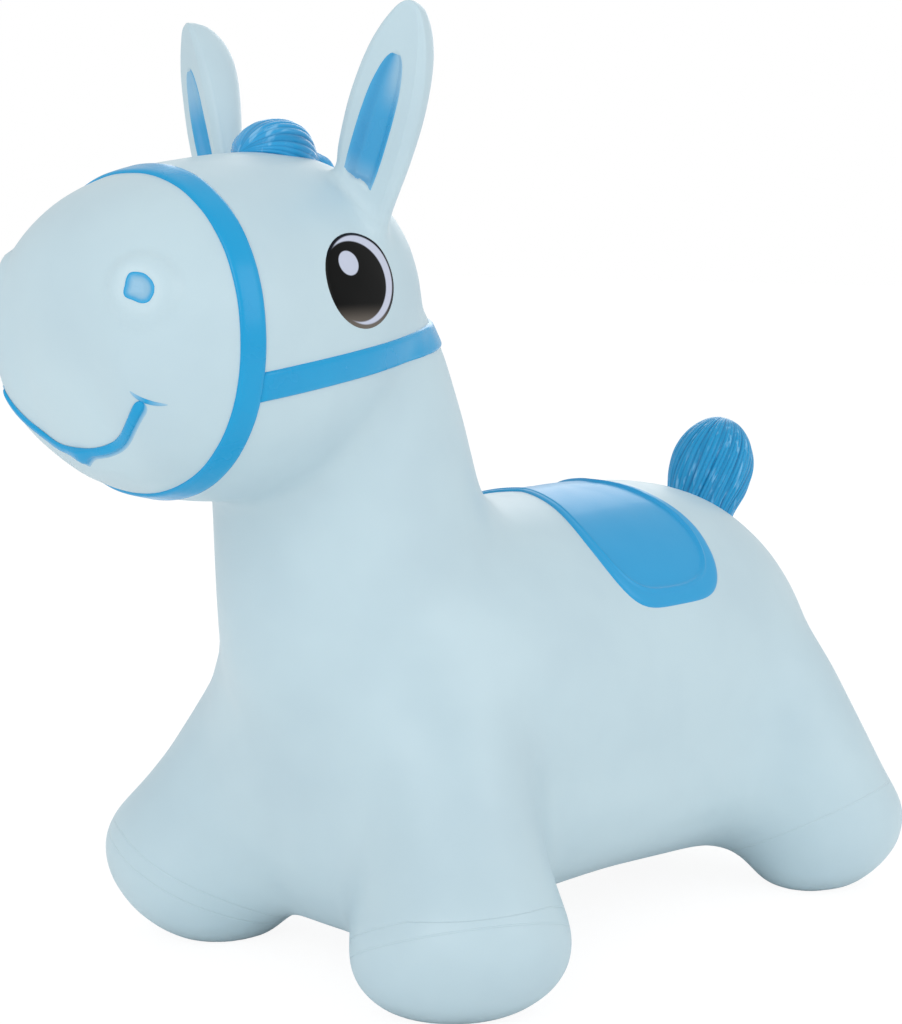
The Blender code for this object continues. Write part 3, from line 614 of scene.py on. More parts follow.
dull = add_node(vinyl, "ShaderNodeMath",
                {0: scuff.outputs[0], 1: 0.35, 2: satin.outputs[0]}, operation="MULTIPLY_ADD")
grooves = None
for hoof, step in HOOF_STEPS:
    level = add_node(vinyl, "ShaderNodeAttribute", attribute_name=hoof)
    off = add_node(vinyl, "ShaderNodeMath",
                   {0: level.outputs["Fac"], 1: step}, operation="SUBTRACT")
    near = add_node(vinyl, "ShaderNodeMath", {0: off.outputs[0]}, operation="ABSOLUTE")
    line = add_node(vinyl, "ShaderNodeMapRange", {
        "Value": near.outputs[0], "From Min": 0, "From Max": STEP_WIDTH, "To Min": 1, "To Max": 0,
    }, interpolation_type="SMOOTHSTEP")
    grooves = line if grooves is None else add_node(
        vinyl, "ShaderNodeMath", {0: grooves.outputs[0], 1: line.outputs[0]}, operation="MAXIMUM")
waved = add_node(vinyl, "ShaderNodeBump", {
    "Strength": 0.12, "Distance": 1.2 * MM, "Height": wave.outputs[0],
})
peeled = add_node(vinyl, "ShaderNodeBump", {
    "Strength": 0.06, "Distance": 0.3 * MM, "Height": peel.outputs[0],
    "Normal": waved.outputs[0],
})
stepped = add_node(vinyl, "ShaderNodeBump", {
    "Strength": 0.5, "Distance": 0.5 * MM, "Height": grooves.outputs[0],
    "Normal": peeled.outputs[0],
}, invert=True)
shader = add_node(vinyl, "ShaderNodeBsdfPrincipled", {
    "Base Color": colour.outputs[2], "Roughness": dull.outputs[0], "IOR": 1.53,
    "Subsurface Weight": 0.12, "Subsurface Radius": (0.9, 1.0, 1.1), "Subsurface Scale": 2 * MM,
    "Normal": stepped.outputs[0],
})
add_node(vinyl, "ShaderNodeOutputMaterial", {"Surface": shader.outputs[0]})
for piece in (skin, *ear_pieces.values()):
    piece.data.materials.append(vinyl)

# Ear linings
# The hollow of each ear is sprayed glossy blue up to a clean edge. The lining is a
# leaf of thin skin laid into the hollow, from the same outline as the hollow.
LINING_SKIN = 0.25 * MM
LINING_WELD = 0.02 * MM
LINING_SPRAY = 0.9
LINING_GRID = (56, 110)
LINING_SIDE_EDGE = 24
LINING_END_EDGE = 60
# The colour pales towards the skin's blue at the outer side of the tip, a painted reflection of
# the sky, and it is paler towards the foot as well
TIP_PAINTED_SHEEN = 0.45
TIP_UP = (0.5, 0.85)
TIP_ACROSS = (-0.7, 0.4)
FOOT_PALER = 0.25
FOOT_UP = (0.2, 0)
GLOSS_BLUE = "#10A2D8"
GLOSS_DEEP = "#0A97CF"
PAINT_DEPTH_SIZE = 30
PAINT_PEEL_SIZE = 2.5
GLOSS_ROUGHNESS = 0.24
THIN_ROUGHNESS = 0.26


def disc(shares, sides):
    """Concentric rings in the unit disc, closed in the middle."""
    bm = bmesh.new()
    rings = [bmesh.ops.create_circle(bm, segments=sides, radius=share)["verts"]
             for share in shares]
    bridged(bm, rings, 0)
    return bm


def face_along(bm, way):
    """Turn an open sheet's faces to look along a way."""
    bmesh.ops.recalc_face_normals(bm, faces=bm.faces)
    bm.normal_update()
    seen = sum(face.normal.dot(way) * face.calc_area() for face in bm.faces)
    if seen < 0:
        bmesh.ops.reverse_faces(bm, faces=bm.faces)


def paint_material(name, colour, deep, roughness, thinned_and_sheened=False):
    """Gloss paint sprayed on vinyl: full, faintly uneven in depth, with soft orange peel.

    When the flag is set, the colour pales to the bare skin's blue where a piece's
    spray attribute is low: at the thin edge of the mouth's spray, and as painted
    sheen in the ear linings and nostrils.
    """
    paint, spot = new_material(name)
    depth = add_node(paint, "ShaderNodeTexNoise",
                     {"Vector": spot, "Scale": across_mm(PAINT_DEPTH_SIZE), "Detail": 3})
    tint = add_node(paint, "ShaderNodeMix", {
        "Factor": depth.outputs[0], 6: linear(colour), 7: linear(deep),
    }, data_type="RGBA")
    if thinned_and_sheened:
        spray = add_node(paint, "ShaderNodeAttribute", attribute_name="spray")
        tint = add_node(paint, "ShaderNodeMix", {
            "Factor": spray.outputs["Fac"], 6: linear(SKIN_BLUE), 7: tint.outputs[2],
        }, data_type="RGBA")
    peel = add_node(paint, "ShaderNodeTexNoise",
                    {"Vector": spot, "Scale": across_mm(PAINT_PEEL_SIZE), "Detail": 2})
    bump = add_node(paint, "ShaderNodeBump", {
        "Strength": 0.1, "Distance": 0.3 * MM, "Height": peel.outputs[0],
    })
    gloss = add_node(paint, "ShaderNodeMapRange", {
        "Value": depth.outputs[0], "From Min": 0.3, "From Max": 0.7,
        "To Min": roughness - 0.03, "To Max": roughness + 0.05,
    })
    shader = add_node(paint, "ShaderNodeBsdfPrincipled", {
        "Base Color": tint.outputs[2], "Roughness": gloss.outputs[0], "IOR": 1.5,
        "Specular IOR Level": 0.3, "Coat Weight": 0.1, "Coat Roughness": 0.1,
        "Normal": bump.outputs[0],
    })
    add_node(paint, "ShaderNodeOutputMaterial", {"Surface": shader.outputs[0]})
    return paint


gloss_paint = paint_material("gloss spray paint", GLOSS_BLUE, GLOSS_DEEP, GLOSS_ROUGHNESS)
thinned_and_sheened_paint = paint_material("thinned spray paint and painted sheen", GLOSS_BLUE, GLOSS_DEEP, THIN_ROUGHNESS,
                             thinned_and_sheened=True)
for name, (side, place) in ears.items():
    blade = ear_blade(place, side)
    leaf_bm = bmesh.new()
    leaf_bm.from_mesh(ear_pieces[name].data)
    leaf_tree = BVHTree.FromBMesh(leaf_bm)
    leaf_bm.free()
    forward = blade.to_3x3() @ Vector((0, -1, 0))
    lining = bmesh.new()
    spray = lining.verts.layers.float.new("spray")
    bmesh.ops.create_grid(lining, x_segments=LINING_GRID[0], y_segments=LINING_GRID[1], size=1)
    for vert in lining.verts:
        across = vert.co.x
        along = (vert.co.y + 1) / 2
        wide, deep = shares_at(LINING_ROWS, along)
        foot = lining_foot(across)
        level = foot + (LINING_START + LINING_LENGTH - foot) * along
        risen = (level - LINING_START) / LINING_LENGTH
        middle = across * wide * LINING_WIDTH / 2 - LINING_SHIFT + LINING_LEAN * risen
        start = blade @ Vector((side * middle, -EAR_WIDTH, level))
        hit, normal = cast(leaf_tree, start, -forward)
        edge = max(abs(across) ** LINING_SIDE_EDGE, max(along, 1 - along) ** LINING_END_EDGE)
        # Painted reflection of the sky: paler towards the skin's blue at the tip's outer side, and
        # paler towards the foot too
        paler = TIP_PAINTED_SHEEN * ramp(along, *TIP_UP) * ramp(across, *TIP_ACROSS)
        paler += FOOT_PALER * ramp(along, *FOOT_UP)
        vert[spray] = LINING_SPRAY - paler
        vert.co = hit + forward * LINING_SKIN * (1 - 2 * edge)
    bmesh.ops.remove_doubles(lining, verts=lining.verts, dist=LINING_WELD)
    face_along(lining, forward)
    piece = new_piece("lining_" + name, lining, None, "paint", "ear_lining_" + name,
                      material=thinned_and_sheened_paint)
    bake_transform(piece)

# Noseband
# A raised band of the moulding, painted the same gloss blue, goes right round the
# muzzle. Its rings are pressed onto the skin and stand up with rounded edges.
BAND_RISE = 1.5 * MM
BAND_SINK = 0.5 * MM
BAND_EDGE = 14
# Rays onto the skin start this far out
CAST = 200 * MM
NOSEBAND_SIDES = 160
BAND_SHARES = (-1.0, -0.985, -0.95, -0.88, -0.7, -0.35, 0, 0.35, 0.7, 0.88, 0.95, 0.985, 1.0)


def band_rise(share):
    """A flat top with rounded edges that dip just under the skin."""
    edge = abs(share) ** BAND_EDGE
    return BAND_RISE * (1 - edge) - BAND_SINK * edge


noseband_low, noseband_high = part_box("noseband")
noseband_width = noseband_high.y - noseband_low.y
noseband_middle = (noseband_low + noseband_high) / 2
noseband = bmesh.new()
rings = []
for share in BAND_SHARES:
    ring = bmesh.ops.create_circle(noseband, segments=NOSEBAND_SIDES, radius=1)["verts"]
    for vert in ring:
        out = Vector((vert.co.x, 0, vert.co.y))
        along = noseband_middle.y + share * noseband_width / 2
        centre = Vector((0, along, noseband_middle.z))
        hit, normal = cast(whole_tree, centre + out * CAST, -out)
        vert.co = hit + normal * band_rise(share)
    rings.append(ring)
bridged(noseband, rings)
crown = max(noseband.faces, key=lambda face: face.calc_center_median().z)
if crown.normal.z < 0:
    bmesh.ops.reverse_faces(noseband, faces=noseband.faces)
new_piece("noseband_paint", noseband, "skin", "paint", "noseband", material=gloss_paint)

# Headstall
# The cheek strap is the same raised band. It leaves the noseband at the cheek,
# rises a little on its way back, and goes round the back of the head.
HEADSTALL_START_HEIGHT = 334 * MM
HEADSTALL_SLOPE = 0.115
HEADSTALL_WIDTH = 15 * MM
HEADSTALL_CENTRE = -135 * MM
HEADSTALL_TURN = math.radians(137)
HEADSTALL_TUCK = 1 * MM
HEADSTALL_CAST = 250 * MM
HEADSTALL_SETTLES = 3
HEADSTALL_GRID = (120, 14)

headstall = bmesh.new()
bmesh.ops.create_grid(headstall, x_segments=HEADSTALL_GRID[0], y_segments=HEADSTALL_GRID[1],
                      size=1)
headstall_start = noseband_high.y - HEADSTALL_TUCK
for vert in headstall.verts:
    share = math.sin(vert.co.y * math.pi / 2)
    turn = vert.co.x * HEADSTALL_TURN
    out = Vector((math.sin(turn), math.cos(turn), 0))
    level = HEADSTALL_START_HEIGHT
    for settle in range(HEADSTALL_SETTLES):
        centre = Vector((0, HEADSTALL_CENTRE, level + share * HEADSTALL_WIDTH / 2))
        hit, normal = cast(whole_tree, centre + out * HEADSTALL_CAST, -out)
        level = HEADSTALL_START_HEIGHT + HEADSTALL_SLOPE * (hit.y - headstall_start)
    vert.co = hit + normal * band_rise(share)
    vert.co.y = max(vert.co.y, headstall_start)
face_along(headstall, Vector((0, 1, 0)))
new_piece("headstall_paint", headstall, "skin", "paint", "headstall", material=gloss_paint)

# Saddle
# A squarish pad moulded on the back and painted a softer blue. It stands a little
# proud with rolled edges, and a fine raised cord runs round it inside the edge.
SADDLE_RISE = 1.6 * MM
SADDLE_SINK = 0.5 * MM
SADDLE_WRAP = math.radians(63.9)
SADDLE_SQUARE = 4.4
SADDLE_AXIS_HEIGHT = 145 * MM
SADDLE_PANEL = 1.1 * MM
SADDLE_RIDGE = 0.7 * MM
SADDLE_RIDGE_SHARE = 0.009
SADDLE_STEP_SHARE = 0.02
SADDLE_ROUND = 0.4
SADDLE_EDGE = 60
SADDLE_SIDES = 240
SADDLE_BORDER = 0.09
SADDLE_REAR_BORDER = 0.08
SADDLE_BLUE = "#2BA0D6"
SADDLE_DEEP = "#259BD2"
SADDLE_ROUGHNESS = 0.33
# Rows: share of the wrap, share of the length, narrow over the ridge of the back
SADDLE_WAIST = ((0.0, 0.66), (0.30, 0.84), (0.55, 0.97), (0.72, 1.0), (1.0, 1.0))

saddle_low, saddle_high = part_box("saddle")
saddle_middle = (saddle_low.y + saddle_high.y) / 2
saddle_reach = (saddle_high.y - saddle_low.y) / 2
saddle_rings = [0.03, 0.12, 0.22, 0.32, 0.42, 0.52, 0.6, 0.67, 0.72]
saddle_rings += [0.74 + 0.008 * number for number in range(33)] + [1.0]
saddle = disc(saddle_rings, SADDLE_SIDES)
for vert in saddle.verts:
    share = min(1, math.hypot(vert.co.x, vert.co.y))
    angle = math.atan2(vert.co.y, vert.co.x)
    square = (abs(math.cos(angle)) ** SADDLE_SQUARE
              + abs(math.sin(angle)) ** SADDLE_SQUARE) ** (-1 / SADDLE_SQUARE)
    stretch = 1 + (square - 1) * (share + (1 - share) * SADDLE_ROUND)
    wrap = share * stretch * math.cos(angle)
    waist = shares_at(SADDLE_WAIST, abs(wrap))[0]
    turn = wrap * SADDLE_WRAP
    along = saddle_middle + share * stretch * math.sin(angle) * saddle_reach * waist
    out = Vector((math.sin(turn), 0, math.cos(turn)))
    centre = Vector((0, along, SADDLE_AXIS_HEIGHT))
    hit, normal = cast(whole_tree, centre + out * CAST, -out)
    edge = share ** SADDLE_EDGE
    border = SADDLE_BORDER + SADDLE_REAR_BORDER * max(0, math.sin(angle)) ** 2
    panel = eased((1 - border - share) / SADDLE_STEP_SHARE)
    ridge = math.exp(-((1 - border - share) / SADDLE_RIDGE_SHARE) ** 2)
    rise = (SADDLE_RISE - SADDLE_PANEL * panel) * (1 - edge) - SADDLE_SINK * edge
    vert.co = hit + normal * (rise + SADDLE_RIDGE * ridge)
face_along(saddle, Vector((0, 0, 1)))
saddle_paint = paint_material("satin saddle paint", SADDLE_BLUE, SADDLE_DEEP, SADDLE_ROUGHNESS)
new_piece("saddle_pad", saddle, "skin", "saddle_paint", "saddle", material=saddle_paint)

# Eyes
# Each eye is a glossy pad print: a thin black outline, a lilac white, and a large
# black pupil that fades to warm grey below, with one pale highlight. It is a disc
# laid on the skin, and its print is drawn on its own map.
EYE_WIDTH = 56 * MM
EYE_TALL = 50 * MM
EYE_BACK = 0.9 * MM
EYE_SKIN = 0.35 * MM
EYE_DIP = 1.6
EYE_EDGE = 20
EYE_CAST = 50 * MM
EYE_TURN = math.radians(98)
EYE_LIFT = math.radians(13)
EYE_RINGS = (0.05, 0.2, 0.35, 0.5, 0.62, 0.74, 0.84, 0.91, 0.96, 0.99, 1.0)
EYE_BLACK = "#060707"
EYE_INK = "#070C18"
EYE_WHITE = "#C5CBDD"
EYE_GREY = "#6B645D"
EYE_GLINT = "#C3CADC"

eye_print, spot = new_material("glossy pad print")
flat = add_node(eye_print, "ShaderNodeUVMap", uv_map="print")


def oval(centre, half_width, half_height, soft):
    """A mask that is 1 inside an oval of the print and 0 outside it."""
    moved = add_node(eye_print, "ShaderNodeMapping", {
        "Vector": flat.outputs[0], "Location": (centre[0], centre[1], 0),
        "Scale": (half_width, half_height, 1),
    }, vector_type="TEXTURE")
    away = add_node(eye_print, "ShaderNodeVectorMath", {0: moved.outputs[0]}, operation="LENGTH")
    return add_node(eye_print, "ShaderNodeMapRange", {
        "Value": away.outputs["Value"], "From Min": 1 + soft, "From Max": 1 - soft,
    }, interpolation_type="SMOOTHSTEP").outputs[0]


rows = add_node(eye_print, "ShaderNodeSeparateXYZ", {0: flat.outputs[0]})
fade = add_node(eye_print, "ShaderNodeMapRange", {
    "Value": rows.outputs["Y"], "From Min": -0.45, "From Max": -0.95,
}, interpolation_type="SMOOTHSTEP").outputs[0]
rim, pupil = (
    add_node(eye_print, "ShaderNodeMix", {
        "Factor": fade, 6: linear(ink), 7: linear(EYE_GREY),
    }, data_type="RGBA").outputs[2]
    for ink in (EYE_INK, EYE_BLACK)
)
drawn = rim
for above, mask in (
    (linear(EYE_WHITE), oval((0.0, 0.012), 0.895, 0.90, 0.02)),
    (pupil, oval((-0.165, -0.02), 0.845, 0.815, 0.02)),
    (linear(EYE_GLINT), oval((-0.315, 0.34), 0.256, 0.25, 0.05)),
):
    drawn = add_node(eye_print, "ShaderNodeMix", {
        "Factor": mask, 6: drawn, 7: above,
    }, data_type="RGBA").outputs[2]
eye_shader = add_node(eye_print, "ShaderNodeBsdfPrincipled", {
    "Base Color": drawn, "Roughness": 0.16, "IOR": 1.5, "Specular IOR Level": 0.1,
})
add_node(eye_print, "ShaderNodeOutputMaterial", {"Surface": eye_shader.outputs[0]})
for name, (side, place) in ears.items():
    low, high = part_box("eye_" + name)
    middle = (low + high) / 2
    start = Vector((side * CAST, middle.y + EYE_BACK, middle.z))
    hit, normal = cast(whole_tree, start, Vector((-side, 0, 0)))
    eye_place = facing(hit, EYE_TURN, EYE_LIFT, side)
    eye = disc(EYE_RINGS, 96)
    marks = eye.loops.layers.uv.new("print")
    for face in eye.faces:
        for corner in face.loops:
            corner[marks].uv = (side * corner.vert.co.x, corner.vert.co.y)
    out = eye_place.to_3x3() @ Vector((0, 0, 1))
    for vert in eye.verts:
        share = min(1, math.hypot(vert.co.x, vert.co.y))
        flat_point = eye_place @ Vector((vert.co.x * EYE_WIDTH / 2, vert.co.y * EYE_TALL / 2, 0))
        hit, normal = cast(whole_tree, flat_point + out * EYE_CAST, -out)
        vert.co = hit + normal * EYE_SKIN * (1 - EYE_DIP * share ** EYE_EDGE)
    face_along(eye, out)
    new_piece("eye_print_" + name, eye, "skin", "eye_print", "eye_" + name, material=eye_print)

# Nostrils
# Each nostril is a dish in the muzzle sprayed the gloss blue. The paint is a round
# skin laid into the dish, and thickens to a soft edge at its rim. Its colour is
# paler in the dish's middle, a painted highlight.
NOSTRIL_SKIN = 0.45 * MM
NOSTRIL_EDGE = 14
NOSTRIL_CAST = 30 * MM
# The spray share in the dish's middle is a painted highlight; the colour is full again across the
# rim
NOSTRIL_PAINTED_HIGHLIGHT = 0.5
NOSTRIL_RIM = (0.55, 0.9)
NOSTRIL_RINGS = (0.06, 0.2, 0.36, 0.52, 0.66, 0.78, 0.87, 0.94, 0.98, 1.0)

for name, place in nostrils.items():
    nostril = disc(NOSTRIL_RINGS, 64)
    spray = nostril.verts.layers.float.new("spray")
    out = place.to_3x3() @ Vector((0, 0, 1))
    for vert in nostril.verts:
        share = min(1, math.hypot(vert.co.x, vert.co.y))
        reach = nostril_reach(vert.co, ears[name][0])
        start = place @ (vert.co * reach) + out * NOSTRIL_CAST
        hit, normal = cast(whole_tree, start, -out)
        # Painted highlight: the dish's middle is mixed paler towards the skin's blue
        vert[spray] = NOSTRIL_PAINTED_HIGHLIGHT + (1 - NOSTRIL_PAINTED_HIGHLIGHT) * ramp(share, *NOSTRIL_RIM)
        vert.co = hit + normal * NOSTRIL_SKIN * (1 - 2 * share ** NOSTRIL_EDGE)
    face_along(nostril, out)
    new_piece("nostril_paint_" + name, nostril, "skin", "paint", "nostril_" + name,
              material=thinned_and_sheened_paint)

# Mouth
# The smile is a raised bead round the front of the muzzle, painted the gloss blue.
# It swells to a small full lip in the middle and thins out at both corners.
MOUTH_HEIGHT = 301 * MM
MOUTH_HALF = 56 * MM
MOUTH_CURL = 28 * MM
MOUTH_POWER = 2.5
MOUTH_SPREAD = math.radians(72)
MOUTH_BAND = 4.2 * MM
MOUTH_SPRAY = 1.4
SPRAY_SHARE = 0.35
MOUTH_RISE = 1.5 * MM
MOUTH_SINK = 0.15 * MM
MOUTH_TIP = 0.12
MOUTH_GRID = (180, 24)
MOUTH_ROUND = 4
SPRAY_START = 0.25
LIP_WIDTH = 23 * MM
LIP_DROP = 4.4 * MM
LIP_TAPER = 0.35
LIP_RISE = 1.2 * MM
CREASE_TURN = math.radians(-28)
CREASE_LENGTH = 15 * MM
CREASE_WIDTH = 2.6 * MM
CREASE_BEYOND = 1.5 * MM
CREASE_BOW = 2 * MM
CREASE_RISE = 0.8 * MM
CREASE_SINK = 0.3 * MM
CREASE_THINNED = 0.7
CREASE_GRID = (24, 8)


def pressed(across, up, rise):
    """Press a point of the mouth's plane onto the muzzle, and stand it proud."""
    start = Vector((across, -MUZZLE_CAST, up))
    hit, normal = cast(whole_tree, start, Vector((0, 1, 0)))
    return hit + normal * rise


mouth = bmesh.new()
spray = mouth.verts.layers.float.new("spray")
bmesh.ops.create_grid(mouth, x_segments=MOUTH_GRID[0], y_segments=MOUTH_GRID[1], size=1)
for vert in mouth.verts:
    # The lower part of the sheet is the fading edge of the spray, and the rest the bead.
    split = 2 * SPRAY_SHARE - 1
    fade = max(0, (split - vert.co.y) / (split + 1))
    inside = max(0, (vert.co.y - split) / (1 - split))
    share = -math.cos(inside * math.pi)
    spread = math.sin(vert.co.x * MOUTH_SPREAD) / math.sin(MOUTH_SPREAD)
    across = MOUTH_HALF * spread
    up = MOUTH_HEIGHT + MOUTH_CURL * abs(spread) ** MOUTH_POWER
    slope = math.copysign(
        MOUTH_CURL * MOUTH_POWER * abs(spread) ** (MOUTH_POWER - 1) / MOUTH_HALF, spread)
    square = Vector((-slope, 1)).normalized()
    thin = math.sqrt(1 - (1 - min(1, (1 - abs(vert.co.x)) / MOUTH_TIP)) ** 2)
    lip = eased(max(0, 1 - abs(across) / (LIP_WIDTH / 2)))
    reach = (share - MOUTH_SPRAY * fade) * MOUTH_BAND / 2 * thin
    if share < 0:
        reach += share * LIP_DROP * lip
        across *= 1 + LIP_TAPER * share * lip
    full = 1 - abs(share) ** MOUTH_ROUND
    rise = (MOUTH_RISE + LIP_RISE * lip) * full * thin + MOUTH_SINK * (1 - 2 * fade)
    vert[spray] = 1 - eased(SPRAY_START + (1 - SPRAY_START) * fade) if fade > 0 else 1
    vert.co = pressed(across + square.x * reach, up + square.y * reach, rise)
# A short crease crosses each corner of the smile.
for side in (-1, 1):
    crease = bmesh.ops.create_grid(mouth, x_segments=CREASE_GRID[0], y_segments=CREASE_GRID[1],
                                   size=1)["verts"]
    way = Vector((side * math.cos(CREASE_TURN), math.sin(CREASE_TURN)))
    middle = Vector((side * (MOUTH_HALF + CREASE_BEYOND), MOUTH_HEIGHT + MOUTH_CURL))
    for vert in crease:
        vert[spray] = 1 - CREASE_THINNED * abs(vert.co.x)
        share = math.sin(vert.co.y * math.pi / 2)
        thin = math.sqrt(max(0, 1 - vert.co.x ** 2))
        along = vert.co.x * CREASE_LENGTH / 2
        reach = share * CREASE_WIDTH / 2 * thin + CREASE_BOW * vert.co.x ** 2
        spot = middle + way * along + Vector((-way.y, way.x)) * reach
        rise = CREASE_RISE * (1 - share ** MOUTH_ROUND) * thin - CREASE_SINK
        vert.co = pressed(spot.x, spot.y, rise)
face_along(mouth, Vector((0, -1, 0)))
new_piece("mouth_bead", mouth, "skin", "paint", "mouth", material=thinned_and_sheened_paint)

# Bung
# A turned plug of plain vinyl closes the belly. Its flat head sits flush in a seat
# in the skin, and three soft ribs on its stem hold it in the bore.
BUNG_RIBS = 3
BUNG_RIB = 0.5 * MM
RIB_TOP = 0.2 * MM
RIB_FOOT = 0.7 * MM
BUNG_ROUND = 0.5 * MM
BUNG_CHAMFER = 0.15 * MM
BUNG_FILLET = 0.1 * MM
BUNG_SLOPE = 0.6 * MM
BUNG_DIMPLE = 0.5 * MM
BUNG_SHARP = math.radians(35)
BUNG_FLECK_SIZE = 3
BUNG_GRIP_RADIUS = 6.5 * MM
BUNG_WHITE = "#E4E9EA"

head, grip, stem = BUNG_HEAD_RADIUS, BUNG_GRIP_RADIUS, BUNG_STEM_RADIUS
neck = stem - BUNG_RIB
length = bung_high.z - bung_low.z
stem_length = length - BUNG_HEAD_DEPTH
profile = [
    (0, BUNG_DIMPLE), (grip - BUNG_SLOPE, BUNG_DIMPLE), (grip, BUNG_FILLET),
    (grip + BUNG_ROUND, 0), (head - BUNG_ROUND, 0), (head - BUNG_CHAMFER, BUNG_CHAMFER),
    (head, BUNG_ROUND), (head, BUNG_HEAD_DEPTH - BUNG_ROUND),
    (head - BUNG_ROUND, BUNG_HEAD_DEPTH), (stem + BUNG_FILLET, BUNG_HEAD_DEPTH),
    (neck, BUNG_HEAD_DEPTH + BUNG_ROUND),
]
for rib in range(BUNG_RIBS):
    level = BUNG_HEAD_DEPTH + stem_length * (rib + 1) / (BUNG_RIBS + 1)
    profile += [
        (neck, level - RIB_FOOT), (stem, level - RIB_TOP),
        (stem, level + RIB_TOP), (neck, level + RIB_FOOT),
    ]
profile += [(neck, length - BUNG_SLOPE), (neck - BUNG_SLOPE, length), (0, length)]
bung = bmesh.new()
line = [bung.verts.new(bung_centre + Vector((x, 0, bung_low.z + z))) for x, z in profile]
for first, second in zip(line, line[1:]):
    bung.edges.new((first, second))
bmesh.ops.spin(bung, geom=bung.verts[:] + bung.edges[:], cent=bung_centre, axis=(0, 0, 1),
               angle=2 * math.pi, steps=BUNG_SIDES, use_merge=True)
bmesh.ops.remove_doubles(bung, verts=bung.verts, dist=WELD)
bmesh.ops.recalc_face_normals(bung, faces=bung.faces)
piece = new_piece("bung_plug", bung, "bung", "bung", "valve_bung")
piece.data.set_sharp_from_angle(angle=BUNG_SHARP)
plug_vinyl, spot = new_material("plain moulded vinyl")
fleck = add_node(plug_vinyl, "ShaderNodeTexNoise",
                 {"Vector": spot, "Scale": across_mm(BUNG_FLECK_SIZE), "Detail": 3})
plug_tint = add_node(plug_vinyl, "ShaderNodeMix", {
    "Factor": fleck.outputs[0], 6: linear(BUNG_WHITE), 7: linear(SKIN_BLUE),
}, data_type="RGBA")
grain = add_node(plug_vinyl, "ShaderNodeBump", {
    "Strength": 0.15, "Distance": 0.2 * MM, "Height": fleck.outputs[0],
})
plug_shader = add_node(plug_vinyl, "ShaderNodeBsdfPrincipled", {
    "Base Color": plug_tint.outputs[2], "Roughness": 0.48, "Normal": grain.outputs[0],
})
add_node(plug_vinyl, "ShaderNodeOutputMaterial", {"Surface": plug_shader.outputs[0]})
piece.data.materials.append(plug_vinyl)

# Forelock
# A combed tuft between the ears: one dome of hair swept back, with a small knot
# behind it. Its strands are grooves along its length, moulded in and painted.
FORELOCK_WIDTH = 43 * MM
FORELOCK_LOCKS = 8
FORELOCK_FINE = 30
FORELOCK_TWIST = 0.14
FORELOCK_SIDES = 312
FORELOCK_RINGS = 80
FORELOCK_LEAST = 0.5 * MM
FORELOCK_CAST = 50 * MM
# How much longer the streaks of painted highlight and bump are, each way
FORELOCK_STREAKS = (1, 7, 2)
# Rows: back along the tuft, half width, rise
FORELOCK_ROWS = (
    (0.00, 0.06, 0.04), (0.04, 0.42, 0.34), (0.12, 0.76, 0.66), (0.22, 0.93, 0.90),
    (0.34, 1.00, 1.00), (0.46, 0.93, 0.98), (0.56, 0.78, 0.84), (0.64, 0.58, 0.58),
    (0.72, 0.40, 0.34), (0.80, 0.36, 0.32), (0.90, 0.32, 0.30), (0.97, 0.18, 0.16),
    (1.00, 0.02, 0.02),
)
STRAND_DEPTH = 0.075
STRAND_MEAN = 0.6
LOCK_POWER = 0.5
THREAD_POWER = 0.7
# Rows: size in turns, waves round the tuft, slant along it
STRAND_DRIFTS = ((0.02, 14, 4), (0.012, 31, -3))
HAIR_SINK = 0.5 * MM
# The hair's blue, the painted shade in its grooves and its painted highlight
HAIR_BLUE = "#2AA0DA"
HAIR_GROOVE_SHADE = "#0F7FB8"
HAIR_PAINTED_HIGHLIGHT = "#8CCBF2"
STREAK_SIZE = 3.2


def strand(turn, along, locks, fine, twist):
    """The combed ridges round a tuft, from 0 in a groove to 1: locks with fine strands."""
    turns = turn / (2 * math.pi) + twist * along
    drift = sum(size * math.sin(waves * turns + slant * along)
                for size, waves, slant in STRAND_DRIFTS)
    lock = abs(math.sin(math.pi * locks * (turns + drift))) ** LOCK_POWER
    thread = abs(math.sin(math.pi * fine * (turns + drift / 2))) ** THREAD_POWER
    return (lock + thread) / 2


def seat(bm):
    """Press what lies inside the skin up to just under its surface."""
    for vert in bm.verts:
        point, normal = whole_tree.find_nearest(vert.co)[:2]
        if (vert.co - point).dot(normal) < -HAIR_SINK:
            vert.co = point - normal * HAIR_SINK


def tuft(place_of, sides, rings, locks, fine, twist):
    """A closed tuft; place_of gives a ring's centre and its two half axes."""
    bm = bmesh.new()
    combed = bm.verts.layers.float.new("strand")
    made = []
    for number in range(rings + 1):
        along = (1 - math.cos(math.pi * number / rings)) / 2
        ring = bmesh.ops.create_circle(bm, segments=sides, radius=1)["verts"]
        centre, first, second = place_of(along)
        for vert in ring:
            turn = turn_of(vert)
            comb = strand(turn, along, locks, fine, twist)
            reach = 1 + STRAND_DEPTH * (comb - STRAND_MEAN)
            vert.co = centre + reach * (first * math.cos(turn) + second * math.sin(turn))
            vert[combed] = comb
        made.append(ring)
    bridged(bm, made, 0, -1)
    return bm


